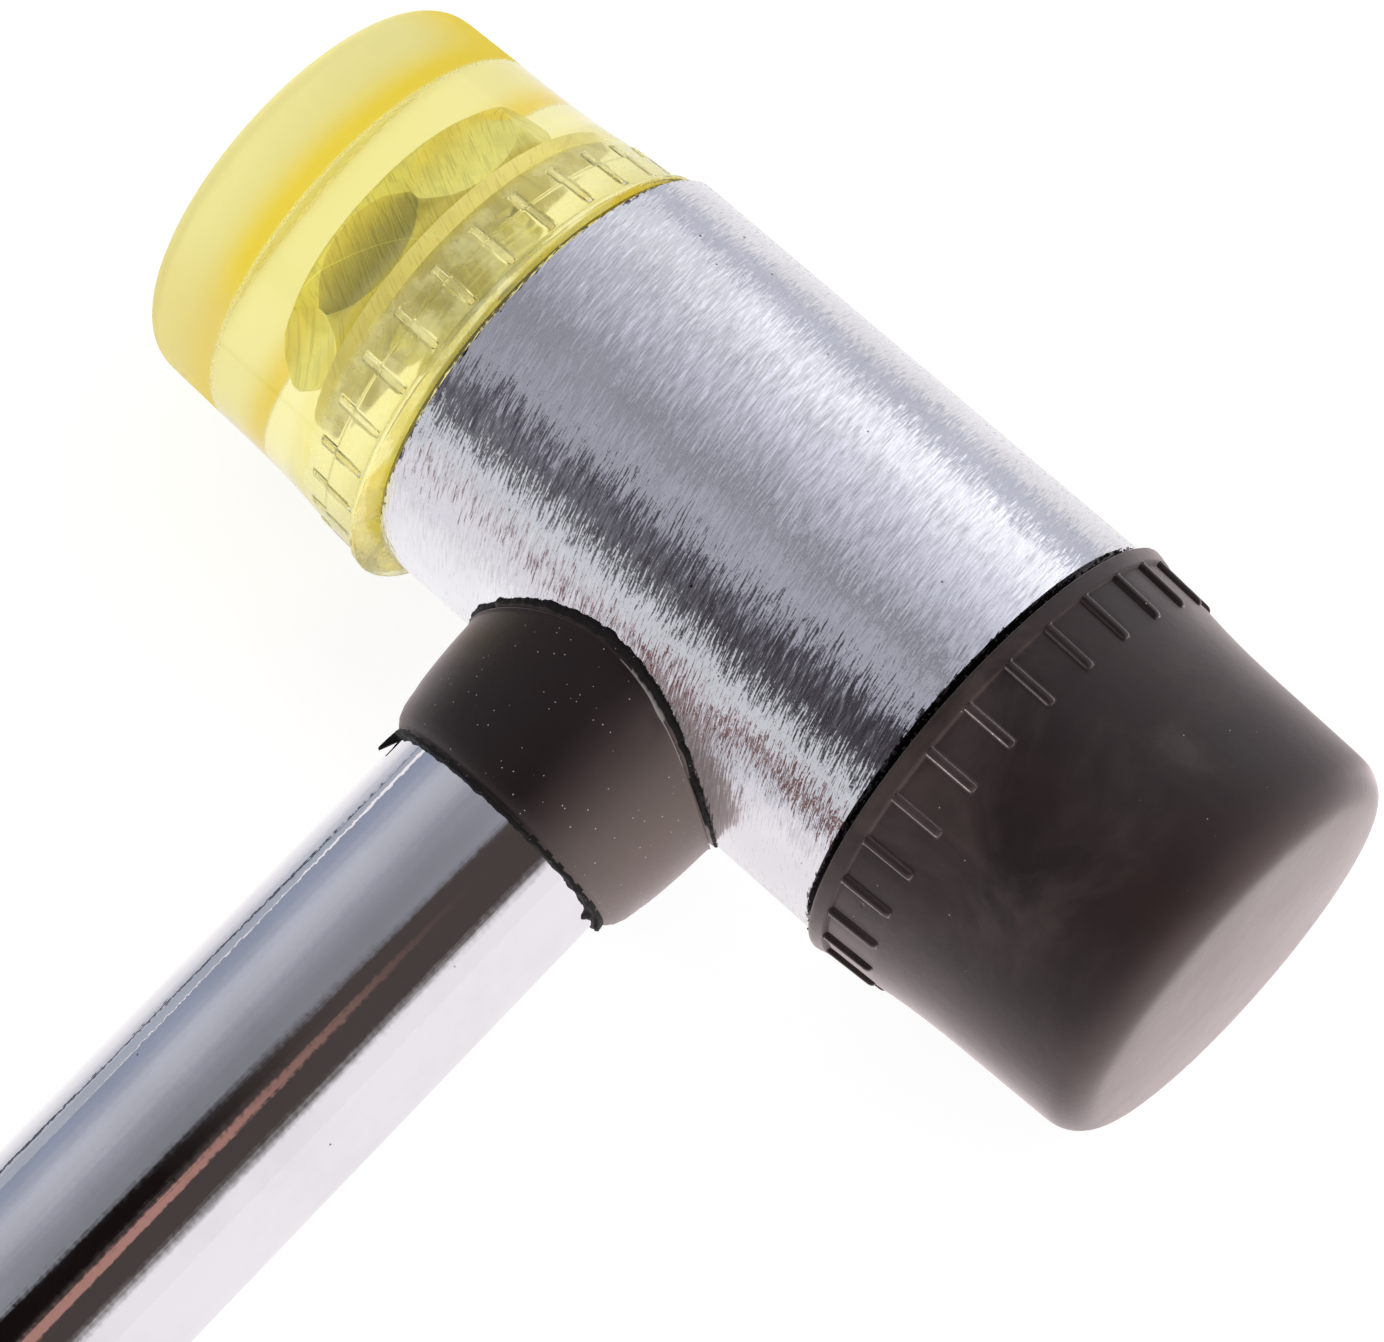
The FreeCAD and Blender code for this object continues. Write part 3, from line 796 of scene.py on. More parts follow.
def set_rib_columns(bm, faces):
    """Move the columns of vertices so that the middle columns of each pitch make one rib."""
    pitch = 2 * math.pi / faces.rib_count
    half = faces.rib_width / 2 / faces.band_r
    middle = RIB_COLUMNS // 2
    for vertex in bm.verts:
        radius = math.hypot(vertex.co.y, vertex.co.z)
        if radius < TINY:
            continue
        rib, part = divmod(round(pitches_round(vertex.co, faces) * RIB_COLUMNS), RIB_COLUMNS)
        if abs(part - middle) <= 1:
            offset = pitch / 2 + (part - middle) * half
        elif part < middle:
            offset = (pitch / 2 - half) * part / (middle - 1)
        else:
            offset = pitch - (pitch / 2 - half) * (RIB_COLUMNS - part) / (middle - 1)
        angle = rib * pitch + offset
        vertex.co.y = radius * math.sin(angle)
        vertex.co.z = radius * math.cos(angle)


def raise_ribs(bm, faces, form):
    """Extrude the ribs out of the band; each has a straight back that is lower at its ends."""
    start, end = form.ribs_from, form.ribs_from + faces.rib_length
    chosen = []
    for face in bm.faces:
        centre = face.calc_center_median()
        near_rib = abs(pitches_round(centre, faces) % 1.0 - 0.5) < 0.6 / RIB_COLUMNS
        if near_rib and start < centre.x < end:
            chosen.append(face)
    grown = bmesh.ops.extrude_face_region(bm, geom=chosen)
    for vertex in (e for e in grown["geom"] if isinstance(e, bmesh.types.BMVert)):
        share = (vertex.co.x - start) / (end - start)
        height = form.rib_height * (1.0 - 0.1 * share)
        if share < 0.01 or share > 0.99:
            height *= 0.5
        radius = band_at(faces, vertex.co.x) + height
        vertex.co.yz = Vector((vertex.co.y, vertex.co.z)).normalized() * radius


def add_crumbs(bm, count, seed):
    """Crumbs of moulding flash that cling round the rim, over the barrel's end."""
    chance = random.Random(seed)
    for _ in range(count):
        size = chance.uniform(0.06, 0.17) * MM
        angle = chance.uniform(0, 2 * math.pi)
        radius = BARREL_R + chance.uniform(0.16, 0.34) * MM
        along = -chance.uniform(0.0, 0.38) * MM
        place = Matrix.Translation((along, radius * math.sin(angle), radius * math.cos(angle)))
        made = bmesh.ops.create_icosphere(bm, subdivisions=1, radius=size, matrix=place)
        for vertex in made["verts"]:
            vertex.co += Vector([chance.uniform(-0.4, 0.4) * size for _ in range(3)])


def fray_rim(bm, depth):
    """Make the rim's outer edge slightly uneven, always inwards."""
    for vertex in bm.verts:
        radius = math.hypot(vertex.co.y, vertex.co.z)
        if radius > FLANGE_R - 0.5 * SOFT:
            wear = abs(noise.noise(vertex.co * 900.0)) + 0.5 * abs(noise.noise(vertex.co * 2600.0))
            vertex.co.yz = vertex.co.yz * (1 - depth * wear / radius)


def moulded_face(faces, form):
    """A face drawn from its base towards +X, with ribs grown out of one skin."""
    bm = bmesh.new()
    spun(bm, list(face_outline(faces, form)), faces.rib_count * RIB_COLUMNS)
    set_rib_columns(bm, faces)
    raise_ribs(bm, faces, form)
    fray_rim(bm, 0.10 * MM)
    return bm


# --- the bolts --------------------------------------------------------------------------------
BOLT_R = 3.98 * MM
THREAD_ROOT_R = 3.28 * MM
BOLT_HEAD_AT = 7.6 * MM
BOLT_HEAD_TOP = 12.9 * MM
SHANK_END = BOLT_HEAD_AT + 0.6 * MM
BOLT_START = BARREL_HIGH.x - FACE_BASE - 10.0 * MM
THREAD_STEPS = 32                        # in one turn


def cut_flat(bm, point, normal):
    """Cut away what lies beyond a plane and close the cut."""
    geom = bm.verts[:] + bm.edges[:] + bm.faces[:]
    cut = bmesh.ops.bisect_plane(bm, geom=geom, dist=1e-8, plane_co=point, plane_no=normal,
                                 clear_outer=True, clear_inner=False)
    edges = [e for e in cut["geom_cut"] if isinstance(e, bmesh.types.BMEdge)]
    bmesh.ops.edgenet_fill(bm, edges=edges, mat_nr=0, use_smooth=False, sides=0)


def hexagon_head(bm, metal):
    """A turned and chamfered blank, cut to six flats."""
    flat_r = metal.bolt_flats / 2
    corner_r = flat_r / math.cos(math.pi / 6)
    spun(bm, [(BOLT_HEAD_AT, 0.0), (BOLT_HEAD_AT, flat_r - 0.5 * MM),
              (BOLT_HEAD_AT + 0.35 * MM, flat_r), (BOLT_HEAD_AT + 1.0 * MM, flat_r + 0.45 * MM),
              (BOLT_HEAD_AT + 2.1 * MM, corner_r), (BOLT_HEAD_TOP - 2.5 * MM, corner_r),
              (BOLT_HEAD_TOP - 1.2 * MM, flat_r + 0.45 * MM), (BOLT_HEAD_TOP - 0.5 * MM, flat_r),
              (BOLT_HEAD_TOP - 0.12 * MM, flat_r - 0.8 * MM),
              (BOLT_HEAD_TOP, flat_r - 1.6 * MM), (BOLT_HEAD_TOP, 0.0)], 96)
    for k in range(6):
        angle = math.radians(60 * k) + metal.bolt_turn
        out = Vector((0.0, math.sin(angle), math.cos(angle)))
        cut_flat(bm, out * flat_r, out)


def threaded_shank(metal):
    """A thread spun from one tooth, cut square at both ends, with a pointed tip."""
    bm = bmesh.new()
    pitch = metal.thread_pitch
    turns = math.ceil((SHANK_END - BOLT_START) / pitch) + 2
    tooth = ((0.0, THREAD_ROOT_R), (0.08, THREAD_ROOT_R), (0.44, BOLT_R), (0.56, BOLT_R),
             (0.92, THREAD_ROOT_R), (1.0, THREAD_ROOT_R))
    verts = [bm.verts.new((BOLT_START - pitch + share * pitch, 0.0, radius))
             for share, radius in tooth]
    edges = [bm.edges.new(pair) for pair in zip(verts, verts[1:])]
    bmesh.ops.spin(bm, geom=verts + edges, cent=(0, 0, 0), axis=(1, 0, 0),
                   dvec=(pitch / THREAD_STEPS, 0, 0), angle=2 * math.pi * turns,
                   steps=THREAD_STEPS * turns, use_merge=False, use_normal_flip=False,
                   use_duplicate=False)
    bmesh.ops.remove_doubles(bm, verts=bm.verts, dist=TINY)
    cut_flat(bm, Vector((BOLT_START, 0, 0)), Vector((-1, 0, 0)))
    cut_flat(bm, Vector((SHANK_END, 0, 0)), Vector((1, 0, 0)))
    for vertex in bm.verts:
        along = vertex.co.x - BOLT_START
        most = BOLT_R - 0.9 * MM + along
        radius = math.hypot(vertex.co.y, vertex.co.z)
        if radius > most:
            vertex.co.yz = vertex.co.yz * (most / radius)
    bmesh.ops.recalc_face_normals(bm, faces=bm.faces)
    return bm


def bolt(metal):
    """The head and the threaded shank in one mesh."""
    bm = threaded_shank(metal)
    shank = bpy.data.meshes.new("shank")
    bm.to_mesh(shank)
    bm.free()
    bm = bmesh.new()
    hexagon_head(bm, metal)
    bmesh.ops.recalc_face_normals(bm, faces=bm.faces)
    sharp = [e for e in bm.edges if e.is_manifold and e.calc_face_angle(0) > math.radians(25)]
    bmesh.ops.bevel(bm, geom=sharp, offset=0.12 * MM, segments=2, profile=0.5, affect="EDGES",
                    material=-1, clamp_overlap=True)
    bm.from_mesh(shank)
    bpy.data.meshes.remove(shank)
    return bm


# --- the collar -------------------------------------------------------------------------------
RIM_AT = HEAD.y - COLLAR_LOW.y
SHOULDER_AT = 20.8 * MM
SADDLE_AT = 10.0 * MM                    # the outline's end, before it is bent to the barrel
BORE_GAP = 0.03 * MM
LIP_FROM = 0.966                         # shares of the way from the shoulder to the saddle
FOLD_FROM, FOLD_TO = 0.93, 0.94
DENT_AT = (0.5, 0.88)                    # angle about the tube, and share


def collar_outline(rubber):
    """Closed section: distance from the barrel's axis, and radius about the tube's."""
    rim_r, shoulder_r, skirt_r = rubber.rim_r, rubber.shoulder_r, rubber.skirt_r
    inner = TUBE_R + BORE_GAP
    yield from ((RIM_AT, inner), (RIM_AT, rim_r - 0.06 * MM),
                (RIM_AT - 0.08 * MM, rim_r + 0.10 * MM), (RIM_AT - 0.26 * MM, rim_r + 0.06 * MM),
                (RIM_AT - 0.40 * MM, rim_r + 0.02 * MM),
                (RIM_AT - 0.58 * MM, rim_r + 0.22 * MM), (RIM_AT - 0.95 * MM, rim_r + 0.52 * MM),
                (RIM_AT - 1.6 * MM, rim_r + 0.78 * MM), (RIM_AT - 2.2 * MM, rim_r + 0.90 * MM),
                (SHOULDER_AT, shoulder_r))
    for share, part in ((0.12, 0.28), (0.25, 0.48), (0.4, 0.66), (0.55, 0.80), (0.7, 0.90),
                        (0.82, 0.96), (0.89, 1.0)):
        yield (SHOULDER_AT + (SADDLE_AT - SHOULDER_AT) * share,
               shoulder_r + (skirt_r - shoulder_r) * part)
    for share, step in ((0.915, 0.02), (0.925, 0.10), (0.935, 0.10), (0.942, -0.05),
                        (0.948, -0.40), (0.958, -0.42), (0.964, 0.0)):
        yield SHOULDER_AT + (SADDLE_AT - SHOULDER_AT) * share, skirt_r + step * MM
    for share, radius in ((0.970, rubber.lip_r - 0.08 * MM), (0.980, rubber.lip_r),
                          (1.0, rubber.lip_r + 0.02 * MM), (1.0, inner)):
        yield SHOULDER_AT + (SADDLE_AT - SHOULDER_AT) * share, radius


def fit_to_barrel(bm, rubber):
    """Bend the skirt so that its end lies on the barrel, and roughen both thin edges."""
    span = SHOULDER_AT - SADDLE_AT
    glint = bm.verts.layers.float.new("glint")
    for vertex in bm.verts:
        down, y, z = vertex.co
        radius, angle = math.hypot(y, z), math.atan2(y, z)
        outside = radius > TUBE_R + 2 * BORE_GAP
        round_way = Vector((math.cos(angle), math.sin(angle), 0))
        wear = noise.noise(round_way * 9.0) + 0.5 * noise.noise(round_way * 31.0)
        if down < SHOULDER_AT - TINY:
            share = (SHOULDER_AT - down) / span
            if outside and share > LIP_FROM:
                radius += rubber.rim_wear * (wear + 0.6 * noise.noise(round_way * 90.0))
            if share > 0.945:
                share = 1.0 - (1.0 - share) * (0.8 + 1.2 * max(0.0, math.cos(angle)) ** 2)
            if outside:
                # painted highlight: faces on the fold within this arc are marked as a glint
                in_sight = 0.1 + 0.1 * wear < angle < 0.8 + 0.2 * wear
                vertex[glint] = float(FOLD_FROM < share < FOLD_TO and in_sight)
                dent = math.exp(-((angle - DENT_AT[0]) / 0.07) ** 2
                                - ((share - DENT_AT[1]) / 0.05) ** 2)
                radius -= 0.3 * MM * (share * math.cos(angle) ** 4 + dent)
            bed = BARREL_R + 0.01 * MM
            on_barrel = math.sqrt(bed ** 2 - (radius * math.cos(angle)) ** 2)
            down = SHOULDER_AT + (on_barrel - SHOULDER_AT) * share
        elif outside and down > RIM_AT - 0.3 * MM:
            tail = max(0.0, math.cos(angle + math.pi / 2 - 0.16)) ** 800
            knob = max(0.0, math.cos(angle - math.pi / 2)) ** 220
            down += rubber.rim_wear * 0.7 * wear + 1.4 * MM * tail ** 2 + 0.5 * MM * knob
            radius += 0.16 * MM * tail + 0.28 * MM * knob
        vertex.co = (down, radius * math.sin(angle), radius * math.cos(angle))


def lip_shade_height(place):
    """How far from the barrel the collar takes the black finish, as painted shade of the gap under
    its lip: most on the top side.
    """
    up = (place.z - HEAD.z) / math.hypot(place.x - HEAD.x, place.z - HEAD.z)
    return (0.15 + 0.26 * max(0.0, up) ** 1.5) * MM


def down_handle_matrix():
    """From a piece drawn down the handle from the head's axis to its place."""
    turn = Matrix(((0, 1, 0, 0), (-1, 0, 0, 0), (0, 0, 1, 0), (0, 0, 0, 1)))
    return Matrix.Translation(HEAD) @ turn


# --- the grip ---------------------------------------------------------------------------------
GRIP_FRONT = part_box("grip_sleeve")[1].y
GRIP_LENGTH = GRIP_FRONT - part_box("grip_sleeve")[0].y
BORE_DEPTH = GRIP_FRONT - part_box("tube_end_plug")[0].y + 0.02 * MM
HANG_HOLE_AT = GRIP_LENGTH - 9.0 * MM
# rows in the hole's mouth: radius and height above the grip's axis in mm, None for on the skin
HOLE_ROWS = ((5.6, None), (5.3, 12.1), (5.2, 9.3), (4.9, 9.02), (3.5, 9.0), (3.1, 8.85), (3.0, 8.3))
PALM_FROM, PALM_TO = 22 * MM, 58 * MM
RINGS_FROM, RING_PITCH = 72 * MM, 3.5 * MM
FLUTES_FROM, FLUTES_TO = 9 * MM, 71 * MM
FLUTE_FADE = 5 * MM


def grip_corners(grip):
    """Corners of the grip's half section: distance from its front, and radius."""
    bevel = grip.ring_r - grip.neck_r
    inner = TUBE_R + BORE_GAP
    yield from ((BORE_DEPTH, 0.0), (BORE_DEPTH, inner), (0.5 * MM, inner),
                (0.0, inner + 0.35 * MM), (0.0, grip.neck_r), (bevel, grip.ring_r),
                (4.4 * MM - bevel, grip.ring_r), (4.4 * MM, grip.neck_r),
                (PALM_FROM, grip.palm_r), (PALM_TO, grip.palm_r), (RINGS_FROM, grip.waist_r))
    for k in range(4):
        start = RINGS_FROM + RING_PITCH * k
        for along, depth in ((1.58, 0.0), (2.1, 0.6), (2.97, 0.6), (3.5, 0.0)):
            yield start + along * MM, grip.waist_r - depth * MM
    yield from ((93 * MM, grip.bell_r), (102 * MM, grip.bell_r))
    yield from arc_points((102 * MM, grip.bell_r - 4 * MM), 4 * MM, math.radians(78),
                          math.radians(12), 4)
    yield from ((GRIP_LENGTH, grip.bell_r - 4 * MM), (GRIP_LENGTH, 0.0))


def eased(corners, soft, longest):
    """Cut every corner short on both sides, and split the long runs between them."""
    points = [Vector(corner) for corner in corners]
    yield tuple(points[0])
    for here, there in zip(points, points[1:]):
        run = there - here
        cut = min(soft, run.length * 0.35)
        first = here if here is points[0] else here + run.normalized() * cut
        last = there if there is points[-1] else there - run.normalized() * cut
        pieces = max(1, math.ceil((last - first).length / longest))
        for k in range(pieces + 1):
            if k or here is not points[0]:
                yield tuple(first.lerp(last, k / pieces))


def press_flutes(bm, grip):
    """Press the long hollows into the palm, fading out at both ends."""
    pitch = 2 * math.pi / grip.flutes
    reach = grip.palm_r + grip.flute_r - grip.flute_depth
    for vertex in bm.verts:
        down, y, z = vertex.co
        radius = math.hypot(y, z)
        off = math.atan2(y, z) % pitch - pitch / 2
        side = reach * math.sin(off)
        if radius < grip.neck_r - 0.1 * MM or abs(side) >= grip.flute_r:
            continue
        floor = reach * math.cos(off) - math.sqrt(grip.flute_r ** 2 - side ** 2)
        ends = min(1.0, max(0.0, (down - FLUTES_FROM) / FLUTE_FADE),
                   max(0.0, (FLUTES_TO - down) / FLUTE_FADE))
        if floor < radius and ends > 0:
            vertex.co.yz = vertex.co.yz * (1 - (radius - floor) * ends / radius)


def open_hang_hole(bm, grip):
    """Cut a round mouth on both sides of the bell, sink it, and join the two by a hole."""
    loops = []
    for side in (-1, 1):
        cut = [f for f in bm.faces if f.calc_center_median().y * side > grip.bell_r * 0.6
               and math.hypot(f.calc_center_median().x - HANG_HOLE_AT,
                              f.calc_center_median().z) < 5.4 * MM]
        rim = list({e for f in cut for e in f.edges
                    if any(other not in cut for other in e.link_faces)})
        bmesh.ops.delete(bm, geom=cut, context="FACES")
        for radius, level in HOLE_ROWS:
            if level is not None:
                grown = bmesh.ops.extrude_edge_only(bm, edges=rim)["geom"]
                rim = [e for e in grown if isinstance(e, bmesh.types.BMEdge)
                       and len(e.link_faces) == 1]
            for vertex in {v for e in rim for v in e.verts}:
                out = Vector((vertex.co.x - HANG_HOLE_AT, vertex.co.z)).normalized()
                vertex.co.x = HANG_HOLE_AT + out.x * radius * MM
                vertex.co.z = out.y * radius * MM
                skin = math.sqrt(grip.bell_r ** 2 - vertex.co.z ** 2)
                vertex.co.y = side * (skin if level is None else min(skin, level * MM))
        loops += rim
    bmesh.ops.bridge_loops(bm, edges=loops)


def grip_mesh(grip):
    bm = bmesh.new()
    spun(bm, list(eased(grip_corners(grip), 0.3 * MM, 1.6 * MM)), 12 * grip.flutes)
    press_flutes(bm, grip)
    open_hang_hole(bm, grip)
    bmesh.ops.recalc_face_normals(bm, faces=bm.faces)
    bm.transform(Matrix.Translation((HEAD.y - GRIP_FRONT, 0, 0)))
    return bm


# --- operators --------------------------------------------------------------------------------
class MALLET_OT_finish_barrel(bpy.types.Operator):
    """Plate the barrel over its brush strokes"""

    bl_idname = "mallet.finish_barrel"
    bl_label = "Barrel finish"

    def execute(self, context):
        paint("barrel_shell", brushed_chrome(context.scene.mallet_metal))
        return {"FINISHED"}


class MALLET_OT_finish_handle(bpy.types.Operator):
    """Plate the tube, and finish the bung in its end"""

    bl_idname = "mallet.finish_handle"
    bl_label = "Handle finish"

    def execute(self, context):
        paint("handle_tube", mirror_chrome(context.scene.mallet_metal))
        paint("tube_end_plug", moulded_plastic("plug_plastic", (0.05, 0.05, 0.05)))
        return {"FINISHED"}


class MALLET_OT_model_grip(bpy.types.Operator):
    """Mould the rubber grip with its flutes, rings and hang hole"""

    bl_idname = "mallet.model_grip"
    bl_label = "Grip"

    def execute(self, context):
        grip = context.scene.mallet_grip
        finish = moulded_rubber("grip_rubber", tuple(grip.rubber), grain_scale=1500.0,
                                specks=0.2, nicks=0.0, pebbles=0.8, warmth=0.15)
        piece = new_piece("grip_sleeve_moulding", grip_mesh(grip), down_handle_matrix(), "mallet",
                          finish, "grip_sleeve")
        subdivide(piece, 1)
        return {"FINISHED"}


class MALLET_OT_model_collar(bpy.types.Operator):
    """Mould the rubber collar onto the tube and the barrel"""

    bl_idname = "mallet.model_collar"
    bl_label = "Collar"

    def execute(self, context):
        rubber = context.scene.mallet_rubber
        bm = bmesh.new()
        spun(bm, list(collar_outline(rubber)), 288, closed=True)
        fit_to_barrel(bm, rubber)
        bmesh.ops.recalc_face_normals(bm, faces=bm.faces)
        finish = moulded_rubber("collar_rubber", tuple(rubber.collar), gloss=0.28,
                                side_light_from=HEAD.x + 1.5 * MM)
        collar = new_piece("neck_collar_moulding", bm, down_handle_matrix(), "mallet",
                           finish, "neck_collar")
        # the lower rim is torn flash; the band beside the barrel is painted shade under the lip
        rim_y = HEAD.y - RIM_AT + 0.32 * MM
        mark_torn_and_shaded(collar, lambda place: place.y < rim_y or math.hypot(
            place.y - HEAD.y, place.z - HEAD.z) < BARREL_R + lip_shade_height(place))
        return {"FINISHED"}


class MALLET_OT_model_faces(bpy.types.Operator):
    """Mould the clear and the black face"""

    bl_idname = "mallet.model_faces"
    bl_label = "Faces"

    def execute(self, context):
        faces = context.scene.mallet_faces
        clear = new_piece("clear_face_moulding", moulded_face(faces, clear_form(faces)),
                          side_matrix(-1, CLEAR_CENTRE_Y), "clear_tip",
                          clear_plastic(faces), "clear_face")
        bm = moulded_face(faces, black_form(faces))
        add_crumbs(bm, count=120, seed=7)
        finish = moulded_rubber("black_rubber", tuple(faces.black_rubber), grain_scale=2200.0,
                                specks=0.05, nicks=0.12, bloomed=0.42,
                                side_light_from=FACE_BASE + 16 * MM)
        black = new_piece("black_face_moulding", bm, side_matrix(1, HEAD.y), "black_tip",
                          finish, "black_face")
        mark_torn_and_shaded(black, lambda place: place.x < FACE_BASE - 0.01 * MM)
        for piece in (clear, black):
            subdivide(piece, 1)
        return {"FINISHED"}


class MALLET_OT_model_fixings(bpy.types.Operator):
    """Cut the bolts, and finish the washers and plugs"""

    bl_idname = "mallet.model_fixings"
    bl_label = "Bolts, washers and plugs"

    def execute(self, context):
        metal = context.scene.mallet_metal
        steel = plain_steel("bolt_steel", tuple(metal.steel), 0.33, metallic=0.8)
        washer = plain_steel("zinc_steel", tuple(metal.zinc), 0.40, metallic=0.1)
        plug = plain_steel("turned_steel", (0.72, 0.71, 0.69), 0.3, rings=True)
        for side, name in ((-1, "clear"), (1, "black")):
            new_piece(name + "_face_bolt_cut", bolt(metal), side_matrix(side, HEAD.y),
                      name + "_tip", steel, name + "_face_bolt",
                      sharp=math.radians(30))
            paint(name + "_head_washer", washer)
            paint(name + "_seat_washer", washer)
            paint(name + "_side_plug", plug)
        return {"FINISHED"}


# --- studio -----------------------------------------------------------------------------------
def rays_that_see(tree, *kinds):
    """1 for rays of any of the given kinds."""
    path = tree.add("ShaderNodeLightPath").outputs
    seen = path[kinds[0]]
    for kind in kinds[1:]:
        seen = tree.most(seen, path[kind])
    return seen


WINDOW_WALL = ((0.50, (0.70, 0.72, 0.79)), (0.56, (0.76, 0.77, 0.82)), (0.64, (0.70, 0.715, 0.75)),
               (0.72, (0.62, 0.63, 0.67)), (0.79, (0.515, 0.52, 0.58)),
               (0.85, (0.475, 0.48, 0.54)), (0.905, (0.415, 0.42, 0.48)),
               (0.94, (0.353, 0.36, 0.41)), (0.975, (0.285, 0.288, 0.33)),
               (1.0, (0.235, 0.237, 0.265)))
LEFT_WALL = ((0.435, (0.17, 0.19, 0.24)), (0.49, (0.27, 0.30, 0.38)), (0.60, (0.30, 0.33, 0.42)),
             (0.69, (0.37, 0.39, 0.46)), (0.77, (0.48, 0.50, 0.56)), (0.90, (0.44, 0.445, 0.48)),
             (1.0, (0.31, 0.31, 0.33)))
RIGHT_WALL = (0.86, 0.82, 0.845)
SHAPE_NEAR = (0.040, 0.033, 0.043)       # the dark shape, towards the camera and overhead
SHAPE_ABOVE = (0.066, 0.053, 0.049)
SHAPE_BLACKEST = (0.008, 0.005, 0.005)
SHAPE_WARM = (0.42, 0.22, 0.185)
LOW_EDGE_GREY = (0.78, 0.76, 0.81)
LOW_EDGE_RED = (0.11, 0.022, 0.012)


def beyond_left(tree, x):
    """1 for all directions but those far to the left."""
    return tree.step(x, -0.34, -0.24)


def pale_walls(tree, direction):
    """The walls and the ceiling: a window's light all round, duller at the left."""
    x, y, z = tree.split(direction)
    height = tree.line(z, 0.5, 0.5)
    lift = tree.times(tree.step(z, -0.05, 0.15), tree.step(y, -0.6, -0.3))
    lift = tree.times(beyond_left(tree, x), lift)
    off_top = tree.step(tree.size(tree.minus(y, 0.06)), 0.03, 0.13)
    lift = tree.times(lift, off_top)
    walls = tree.scaled(tree.ramp(height, WINDOW_WALL), tree.line(lift, 0.64, 0.93))
    walls = tree.mixed(tree.step(x, -0.45, -0.85), walls, tree.ramp(height, LEFT_WALL))
    return tree.mixed(tree.step(x, 0.45, 0.75), walls, RIGHT_WALL)


def on_ceiling(tree, direction):
    """Where a direction meets a ceiling one unit up."""
    x, y, z = tree.split(direction)
    up = tree.most(z, 0.05)
    return tree.over(x, up), tree.over(y, up)


def shape_cover(tree, direction):
    """How much of a direction the dark shape covers: a slanted band over the ceiling."""
    x, y, _ = tree.split(direction)
    u, v = on_ceiling(tree, direction)
    rightward = beyond_left(tree, x)
    toward = tree.plus(tree.times(u, 0.78), tree.times(v, -0.62))
    sideways = tree.plus(tree.times(u, 0.62), tree.times(v, 0.78))
    reach = tree.most(tree.line(sideways, 0.28, 1.02), 0.25)
    off_side = tree.times(tree.step(sideways, -0.2, -0.8), tree.line(rightward, -0.22, 0.06))
    far = tree.plus(off_side, tree.over(toward, reach))
    near = tree.least(tree.plus(tree.times(u, 0.833), tree.line(v, -0.555, -0.014)),
                      tree.plus(tree.times(u, 0.355), tree.line(v, -0.935, 0.008)))
    cover = tree.where_both(near, (-0.03, 0.03), far, (1.43, 0.87))
    faint = tree.times(tree.minus(1.0, rightward), tree.step(y, -0.30, -0.50))
    return tree.times(cover, tree.line(faint, -0.22, 1.0))


def shape_colour(tree, direction):
    """The dark shape: nearly black beside the camera, with one warm streak."""
    y = tree.split(direction)[1]
    u = on_ceiling(tree, direction)[0]
    shape = tree.mixed(tree.step(y, -0.30, -0.05), SHAPE_NEAR, SHAPE_ABOVE)
    blackest = tree.where_both(y, (0.085, 0.035), u, (0.55, 0.40))
    blackest = tree.times(blackest, tree.step(y, -0.20, -0.05))
    shape = tree.mixed(blackest, shape, SHAPE_BLACKEST)
    width = tree.line(y, -0.7, 0.16)
    off_streak = tree.over(tree.size(tree.minus(u, 0.66)), width)
    warm = tree.where_both(off_streak, (1.0, 0.4), y, (0.11, 0.03))
    warm = tree.times(warm, tree.step(y, -0.45, -0.25))
    return tree.mixed(warm, shape, SHAPE_WARM)


def low_edge(tree, rightward):
    """The room's low edge in front of the handle: grey to the left, reddish to the right."""
    return tree.mixed(rightward, LOW_EDGE_GREY, LOW_EDGE_RED)


def room_colour(tree, direction):
    """What metal mirrors: pale walls, a grey ceiling, a dark shape by the camera, a low edge."""
    x, y, z = tree.split(direction)
    room = tree.mixed(shape_cover(tree, direction), pale_walls(tree, direction),
                      shape_colour(tree, direction))
    low = tree.where_both(z, (0.22, 0.12), y, (-0.75, -0.90))
    redder = tree.between(x, (-0.315, -0.29), (-0.06, -0.12))
    return tree.mixed(low, room, low_edge(tree, redder))


def set_world(studio):
    """Plain light for the object, white behind it, and a room for metal to mirror."""
    world = bpy.data.worlds.new("studio_surroundings")
    world.use_nodes = True
    world.cycles.sampling_method = "NONE"
    bpy.context.scene.world = world
    tree = Tree(world.node_tree)
    direction = tree.add("ShaderNodeTexCoord").outputs["Generated"]
    room = room_colour(tree, direction)
    height = tree.split(direction)[2]
    overhead = tree.times(tree.step(height, 0.15, 0.5), rays_that_see(tree, "Is Transmission Ray"))
    through = tree.vector("ADD", tree.scaled(room, 1.6), (0.34, 0.34, 0.34))
    through = tree.vector("MINIMUM", through, WHITE)
    level = studio.light_level
    shown = tree.mixed(rays_that_see(tree, "Is Camera Ray", "Is Transmission Ray"),
                       (level, level, level), WHITE)
    shown = tree.mixed(overhead, shown, through)
    shown = tree.mixed(rays_that_see(tree, "Is Glossy Ray"), shown, room)
    background = tree.add("ShaderNodeBackground", {"Color": shown, "Strength": 1.0})
    tree.add("ShaderNodeOutputWorld", {"Surface": background.outputs[0]})


